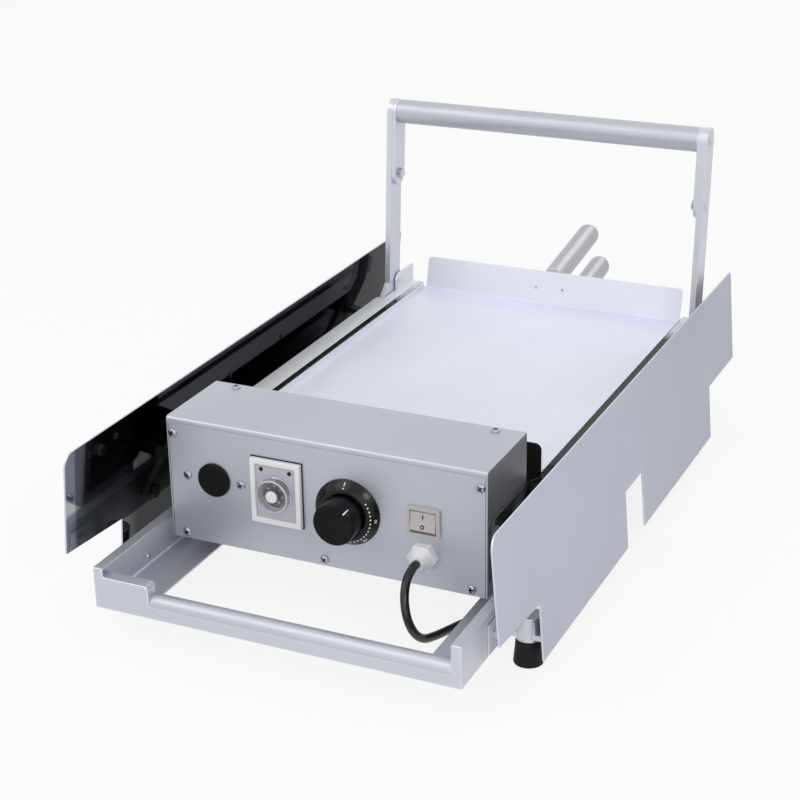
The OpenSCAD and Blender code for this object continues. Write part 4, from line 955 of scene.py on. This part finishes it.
# %% Seams of the front panel
SEAM = 0.5
SEAM_FRONT = -0.06
SEAM_BACK = 0.3
SHELL_WALL = 1.6
panel_low, panel_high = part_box("control_front_panel")
seam_top = size_of("control_front_panel").z - SEAM
for side, name in ((-1, "left_panel_seam"), (1, "right_panel_seam")):
    outline = [(SEAM_FRONT, SEAM), (SEAM_BACK, SEAM), (SEAM_BACK, seam_top), (SEAM_FRONT, seam_top)]
    seam = drawn_out(outline, SEAM)
    seam.transform(Matrix.Translation((side * (panel_high.x - SHELL_WALL * MM), PANEL_FACE, panel_low.z)))
    put(name, seam, "machine", "mark_grey")
print("two seams,", round(seam_top, 1), "mm high")

# %% [markdown]
# ## The buzzer
#
# A black moulded disc, turned, with a rim and two shallow rings round its sound hole.

# %% Buzzer
BUZZER_R = size_of("buzzer").x / 2
BUZZER_FRONT = proud_of_panel("buzzer")
BUZZER_HOLE_R = 12.9
BUZZER_DEPTH = 18
RINGS = (
    (13.2, 0), (12.7, 0.7), (9.6, 0.7), (9.3, 1.2), (8.2, 1.2), (7.9, 0.7), (4.6, 0.7), (4.3, 1.4), (0, 1.4),
)


def out_of_panel(x, z, y=0.0):
    """The axis that comes straight out of the front panel at that place."""
    return Matrix.Translation(from_box(x, y, z)) @ Matrix.Rotation(QUARTER, 4, "X")


buzzer_profile = [
    (0, -BUZZER_DEPTH), (BUZZER_HOLE_R, -BUZZER_DEPTH), (BUZZER_HOLE_R, 0), (BUZZER_R, 0),
    *inset(BUZZER_R, BUZZER_FRONT, ((0, 0.8), (0.8, 0))), *((r, BUZZER_FRONT - depth) for r, depth in RINGS),
]
buzzer_disc = turned(buzzer_profile, out_of_panel(*panel_spot("buzzer")))
put("buzzer_disc", buzzer_disc, "machine", "matt_black", ["buzzer"], sharp=25)
print("buzzer", round(2 * BUZZER_R, 1), "mm across")

# %% [markdown]
# ## The thermostat
#
# A black cone carries the scale and stays still; the knob turns in front of it.

# %% Scale cone
stat_axis = out_of_panel(*panel_spot("thermostat_ring"))
RING_R = size_of("thermostat_ring").x / 2
RING_H = proud_of_panel("thermostat_ring")
RIM_R = 23.0
INNER_R = 19.8
cone_profile = [
    (INNER_R, 0), (RING_R, 0), (RING_R, 1.4), (RING_R - 0.7, 2.3), (RIM_R + 0.6, RING_H - 0.4),
    (RIM_R - 0.4, RING_H), (INNER_R + 0.4, RING_H), (INNER_R, RING_H - 0.4), (INNER_R, 0),
]
put("scale_cone", turned(cone_profile, stat_axis, 96), "machine", "cone_plastic", ["thermostat_ring"])
print("scale cone", round(2 * RING_R, 1), "mm across")

# %% [markdown]
# The knob is turned from a profile, with a round rim and a shallow dish in its face.

# %% Knob
KNOB_R = size_of("thermostat_knob").x / 2
KNOB_FRONT = proud_of_panel("thermostat_knob")
KNOB_BACK = 1
KNOB_RIM = ((0, 2.6), (0.3, 1.4), (1.1, 0.5), (2.4, 0.1), (3.4, 0.1), (4.2, 0.4))
KNOB_DISH = ((8.0, 0.5), (6.6, 0.9), (0, 0.9))
knob_profile = [
    (0, KNOB_BACK), (KNOB_R - 0.3, KNOB_BACK), (KNOB_R, KNOB_BACK + 0.6),
    *inset(KNOB_R, KNOB_FRONT, KNOB_RIM), *((r, KNOB_FRONT - depth) for r, depth in KNOB_DISH),
]
knob_mesh = turned(knob_profile, stat_axis, 96)
put("knob_cap", knob_mesh, "temperature_knob", "black_plastic", ["thermostat_knob"], sharp=25)
print("knob", round(2 * KNOB_R, 1), "mm across")

# %% [markdown]
# The scale on the cone is a row of white dots with a few numbers. A second Geometry Nodes tree sets marks
# along an arc; it serves the dots here and the ticks on the timer.

# %% Tree that sets marks along an arc
ARC_POINTS = 256


def arc_tree():
    inputs = {"Copy": "Object", "Radius": "Float", "Start": "Float", "Sweep": "Float", "Count": "Int"}
    tree, given = new_tree("marks_on_arc", inputs)
    arc = add_node(tree, "GeometryNodeCurveArc", {
        "Resolution": ARC_POINTS, "Radius": given["Radius"], "Start Angle": given["Start"],
        "Sweep Angle": given["Sweep"],
    })
    ends = {"Curve": arc.outputs["Curve"], "Count": given["Count"]}
    spots = add_node(tree, "GeometryNodeCurveToPoints", ends).outputs
    turn = add_node(tree, "FunctionNodeAlignRotationToVector", {"Vector": spots["Tangent"]}, axis="Y")
    return close_tree(tree, given["Copy"], spots["Points"], turn.outputs["Rotation"])


ARC_TREE = arc_tree()


def marks(mark, radius, start, sweep, count, place):
    """Marks along an arc about a matrix's own axis; angles in degrees."""
    made = run_tree(
        ARC_TREE, bpy.data.meshes.new("points"), mark, Radius=radius * MM, Start=math.radians(start),
        Sweep=math.radians(sweep), Count=count,
    )
    made.transform(place)
    return made


print(len(ARC_TREE.nodes), "nodes set marks along an arc")

# %% [markdown]
# The dots are small balls, half sunk into the cone.

# %% Dots on the scale
DOT_R = 24.6
DOT_SIZE = 0.8
DOTS = 23
DOT_START = -154
DOT_SWEEP = 188


def dot(radius):
    bm = bmesh.new()
    bmesh.ops.create_icosphere(bm, subdivisions=2, radius=radius * MM)
    return closed_mesh(bm)


def cone_height(radius):
    return RING_H - (radius - RIM_R)


dot_axis = stat_axis @ Matrix.Translation((0, 0, cone_height(DOT_R) * MM))
scale_dots = marks(dot(DOT_SIZE), DOT_R, DOT_START, DOT_SWEEP, DOTS, dot_axis)
put("scale_dots", scale_dots, "machine", "mark_white")
print(DOTS, "dots on the scale")

# %% [markdown]
# The numbers are flat text, made into meshes and laid on the cone. A short line and a dot mark its top.

# %% Numbers on the scale
NUMBER_R = 27.7
NUMBER_SIZE = 3.4
NUMBERS = {50: 94, 100: 140, 150: 186, 200: 232}
LETTER_THICKNESS = 0.12
INDEX_R = 27.4


def small_block(size, centre=(0, 0, 0)):
    bm = bmesh.new()
    add_block(bm, size, centre)
    edge = min(size) * 0.2 * MM
    bmesh.ops.bevel(bm, geom=bm.edges[:], offset=edge, segments=1, affect="EDGES", clamp_overlap=True)
    return closed_mesh(bm)


def words(text, size, place):
    """Flat letters, centred on a matrix's origin and facing along its axis, as a mesh."""
    letters = bpy.data.curves.new("letters", "FONT")
    letters.body = text
    letters.size = size * MM
    letters.align_x = "CENTER"
    letters.align_y = "CENTER"
    letters.extrude = LETTER_THICKNESS * MM / 2
    made = baked(linked("letters", letters))
    made.transform(place)
    return made


def joined(meshes):
    bm = bmesh.new()
    for mesh in meshes:
        bm.from_mesh(mesh)
    return plain_mesh(bm)


def on_cone(turn, radius):
    """A place on the cone, at an angle clockwise from the top, with letters upright to the outside."""
    spin = Matrix.Rotation(math.radians(-turn), 4, "Z")
    out = Matrix.Translation((0, radius * MM, cone_height(radius) * MM))
    return stat_axis @ spin @ out @ Matrix.Rotation(math.radians(-45), 4, "X")


numbers = [words(str(value), NUMBER_SIZE, on_cone(turn, NUMBER_R)) for value, turn in NUMBERS.items()]
index_line = small_block((0.8, 3.6, 0.3))
index_line.transform(on_cone(0, INDEX_R))
index_dot = dot(DOT_SIZE)
index_dot.transform(on_cone(0, DOT_R))
put("scale_numbers", joined([*numbers, index_line, index_dot]), "machine", "mark_white")
print(len(numbers), "numbers on the scale")

# %% [markdown]
# The pointer is a thin white bar that is let into the rim of the knob. Its outline follows the rim's round
# edge, a hair proud of it, and is drawn out to the bar's width.

# %% Pointer
POINTER_TURN = 40
POINTER_WIDTH = 1.0
POINTER_STEPS = (
    (3.6, -0.05), (2.3, -0.05), (1.0, 0.35), (0.15, 1.3), (-0.15, 2.6), (-0.15, 5.4), (0.6, 5.4), (0.6, 2.8),
    (1.4, 1.2), (3.6, 0.6),
)
pointer = drawn_out(inset(KNOB_R, KNOB_FRONT, POINTER_STEPS), POINTER_WIDTH)
pointer.transform(stat_axis @ Matrix.Rotation(math.radians(-POINTER_TURN), 4, "Z"))
put("pointer_line", pointer, "temperature_knob", "mark_white")
print("pointer at", POINTER_TURN, "degrees")

# %% [markdown]
# ## The timer
#
# A white bezel frames a grey face. On the face are a dark disc with a ring of ticks and numbers, and two
# small lamps. A thin black frame round the bezel is painted shadow in the gap at its edge.

# %% Timer face
TICK_R = 11.4
TICKS = 31
TICK_START = -60
TIME_SWEEP = 300
MINUTE_R = 8.2
MINUTE_SIZE = 3.0
MINUTES = range(0, 31, 5)
FIRST_MINUTE = 240
MINUTE_TURN = 50
LAMPS = {"timer_lamp_left": -13.5, "timer_lamp_right": 13.5}
LAMP_UP = 20.5
SHADOW_FRAME = 0.8


def rounded_profile(radius, low, high, edge, steps=6):
    """A disc's profile from its lower face to its upper one, with a round upper edge."""
    arc = [
        (radius - edge + edge * math.cos(a), high - edge + edge * math.sin(a))
        for a in (QUARTER * i / steps for i in range(steps + 1))
    ]
    return [(0, low), (radius, low), *arc, (0, high)]


timer_spot = panel_spot("timer_bezel")
face_y = -proud_of_panel("timer_body")
face_axis = out_of_panel(*timer_spot, face_y)
face_disc = turned([(0, -0.1), (12.4, -0.1), (12.6, 0.1), (12.4, 0.25), (0, 0.25)], face_axis)
put("timer_scale", face_disc, "machine", "mark_grey")
tick = small_block((1.6, 0.35, 0.2), (0, 0, 0.25))
put("timer_ticks", marks(tick, TICK_R, TICK_START, TIME_SWEEP, TICKS, face_axis), "machine", "mark_white")
minutes = []
for n, minute in enumerate(MINUTES):
    angle = math.radians(FIRST_MINUTE - MINUTE_TURN * n)
    spot = Vector((MINUTE_R * math.cos(angle), MINUTE_R * math.sin(angle), 0.28)) * MM
    minutes.append(words(str(minute), MINUTE_SIZE, face_axis @ Matrix.Translation(spot)))
put("timer_numbers", joined(minutes), "machine", "mark_white")
for name, x in LAMPS.items():
    lens_axis = face_axis @ Matrix.Translation((x * MM, LAMP_UP * MM, 0))
    put(name, turned(rounded_profile(1.9, -0.2, 0.6, 0.5, 3), lens_axis, 24), "machine", "mark_black")
# A black frame round the bezel is painted shadow in the gap at the bezel's edge.
bezel = size_of("timer_bezel")
strips = []
for side in (-1, 1):
    along = side * (bezel.x + SHADOW_FRAME) / 2
    above = side * (bezel.z + SHADOW_FRAME) / 2
    strips.append(small_block((SHADOW_FRAME, bezel.z + 2 * SHADOW_FRAME, SHADOW_FRAME), (along, 0, SHADOW_FRAME / 2)))
    strips.append(small_block((bezel.x, SHADOW_FRAME, SHADOW_FRAME), (0, above, SHADOW_FRAME / 2)))
shadow_frame = joined(strips)
shadow_frame.transform(out_of_panel(*timer_spot))
put("timer_gasket", shadow_frame, "machine", "mark_black")
print("timer face with ticks, numbers, lamps and gasket")

# %% [markdown]
# In front of the face turns a clear dial with two pale rims, a white hub and a pink pointer. The pale rims
# are painted highlight for the light that the clear rim catches.

# %% Timer dial
DIAL_R = size_of("timer_dial").x / 2
DIAL_H = 8.0
DIAL_GAP = 0.4
DIAL_SHAFT_R = 3.0
DIAL_SHAFT_BACK = -16
DIAL_STEPS = 72
HAND_TURN = 110
dial_axis = out_of_panel(*timer_spot, face_y - DIAL_GAP)
dial_profile = [
    (0, DIAL_SHAFT_BACK), (DIAL_SHAFT_R, DIAL_SHAFT_BACK), (DIAL_SHAFT_R, 0), (DIAL_R - 0.6, 0),
    (DIAL_R - 0.6, 0.8), *inset(DIAL_R, DIAL_H, ((1.2, 1.0), (2.2, 0))), (6.0, DIAL_H), (5.0, DIAL_H - 0.6),
    (0, DIAL_H - 0.6),
]
dial_disc = turned(dial_profile, dial_axis, DIAL_STEPS)
put("dial_disc", dial_disc, "time_dial", "clear_plastic", ["timer_dial"])
# The pale rims are painted highlight on the clear dial.
front_rim = ((2.3, 0.3), (1.1, 0.9), (1.1, 0.3), (1.7, -0.3), (2.3, -0.2), (2.3, 0.3))
back_rim = ((0.8, -0.1), (0, -0.1), (0, -0.7), (0.7, -1.0), (0.8, -0.1))
rims = [
    turned(inset(DIAL_R, front, rim), dial_axis, DIAL_STEPS)
    for front, rim in ((DIAL_H, front_rim), (0, back_rim))
]
put("dial_rims", joined(rims), "time_dial", "rim_plastic")
hub = turned(rounded_profile(5.4, DIAL_H - 0.8, DIAL_H + 0.7, 0.5), dial_axis, 40)
put("dial_hub", hub, "time_dial", "white_plastic")
hand = small_block((0.7, 9.0, 0.4), (0, 9.0, DIAL_H - 0.1))
hand.transform(dial_axis @ Matrix.Rotation(math.radians(HAND_TURN), 4, "Z"))
put("dial_hand", hand, "time_dial", "mark_red")
print("clear dial", round(2 * DIAL_R, 1), "mm across")

# %% [markdown]
# ## The switch
#
# The rocker keeps its moulded shape. A bar and a ring on its two faces say on and off.

# %% Switch marks
PIVOT_Y = 3.0
FACE_DEPTH = 5.5
FACE_MIDDLE = 4.4
ROCKER_TILT = math.radians(8.0)
rocker_x, rocker_z = panel_spot("switch_rocker")


def on_rocker(half):
    """A place on the middle of the rocker's upper (1) or lower (-1) face."""
    pivot = Matrix.Translation(from_box(rocker_x, PIVOT_Y, rocker_z))
    tilt = Matrix.Rotation(-ROCKER_TILT, 4, "X")
    lean = Matrix.Rotation(half * ROCKER_TILT, 4, "X")
    forward = Matrix.Translation((0, -FACE_DEPTH * MM, 0))
    along = Matrix.Translation((0, 0, half * FACE_MIDDLE * MM))
    return pivot @ tilt @ forward @ lean @ along @ Matrix.Rotation(QUARTER, 4, "X")


on_bar = small_block((1.1, 3.8, 0.4))
on_bar.transform(on_rocker(1))
off_ring = turned([(1.0, -0.1), (1.9, -0.1), (1.9, 0.2), (1.0, 0.2), (1.0, -0.1)], on_rocker(-1), 32)
put("switch_marks", joined([on_bar, off_ring]), "rocker", "mark_black")
print("switch marked")

# %% [markdown]
# ## Studio
#
# The floor is pale and keeps a soft shadow. Where the camera or a mirror-like surface looks at it, directly
# or through the clear dial, most of it shows as plain white.

# %% Floor
FLOOR_REACH = 12
FLOOR_DROP = 0.0002
FLOOR_GLOW = 0.85


def seen_directly(tree):
    rays = add_node(tree, "ShaderNodeLightPath").outputs
    seen = math_of(tree, "MAXIMUM", rays["Is Camera Ray"], rays["Is Glossy Ray"])
    return math_of(tree, "MAXIMUM", seen, rays["Is Transmission Ray"])


floor_mesh = bpy.data.meshes.new("floor")
floor_corners = [(x * FLOOR_REACH, y * FLOOR_REACH, 0) for x, y in ((-1, -1), (1, -1), (1, 1), (-1, 1))]
floor_mesh.from_pydata(floor_corners, [], [(0, 1, 2, 3)])
floor = linked("floor", floor_mesh)
floor.location.z = -FLOOR_DROP

floor_finish = bpy.data.materials.new("floor_white")
floor_finish.use_nodes = True
floor_tree = floor_finish.node_tree
floor_tree.nodes.clear()
share = math_of(floor_tree, "MULTIPLY", seen_directly(floor_tree), FLOOR_GLOW)
matt = add_node(floor_tree, "ShaderNodeBsdfDiffuse", {"Color": (0.9, 0.9, 0.9, 1)}).outputs[0]
white = add_node(floor_tree, "ShaderNodeEmission").outputs[0]
blend = add_node(floor_tree, "ShaderNodeMixShader", {0: share, 1: matt, 2: white}).outputs[0]
add_node(floor_tree, "ShaderNodeOutputMaterial", {"Surface": blend})
floor_mesh.materials.append(floor_finish)
print("floor of", 2 * FLOOR_REACH, "m")

# %% [markdown]
# The world is white too, a little dimmer where it only gives light. Four soft lamps stand round the
# machine: at the left, in front, at the right and behind.

# %% World and lamps
WORLD_LIGHT = 0.6
AIM = Vector((0, 0, 0.1))
LAMPS_AT = {
    "key": ((-1.2, -1.4, 2.2), 1.8, 12),
    "front": ((0.4, -2.4, 0.9), 1.8, 6),
    "fill": ((1.6, -1.7, 1.6), 0.7, 10),
    "back": ((0.4, 2.2, 1.8), 1.4, 6),
}
world = bpy.data.worlds.new("studio")
scene.world = world
world.use_nodes = True
world_tree = world.node_tree
level = {"Value": seen_directly(world_tree), "To Min": WORLD_LIGHT}
strength = add_node(world_tree, "ShaderNodeMapRange", level).outputs["Result"]
background = world_tree.nodes["Background"]
background.inputs["Color"].default_value = (1, 1, 1, 1)
world_tree.links.new(strength, background.inputs["Strength"])

for name, (place, size, watts) in LAMPS_AT.items():
    lamp_data = bpy.data.lights.new(name, "AREA")
    lamp_data.shape = "DISK"
    lamp_data.size = size
    lamp_data.energy = watts
    lamp = linked(name, lamp_data)
    lamp.location = place
    lamp.rotation_euler = (AIM - Vector(place)).to_track_quat("-Z", "Y").to_euler()
scene.view_settings.view_transform = "Standard"
print(len(LAMPS_AT), "lamps")

# %% [markdown]
# Last, the view layer is brought up to date.

# %% Close
bpy.context.view_layer.update()
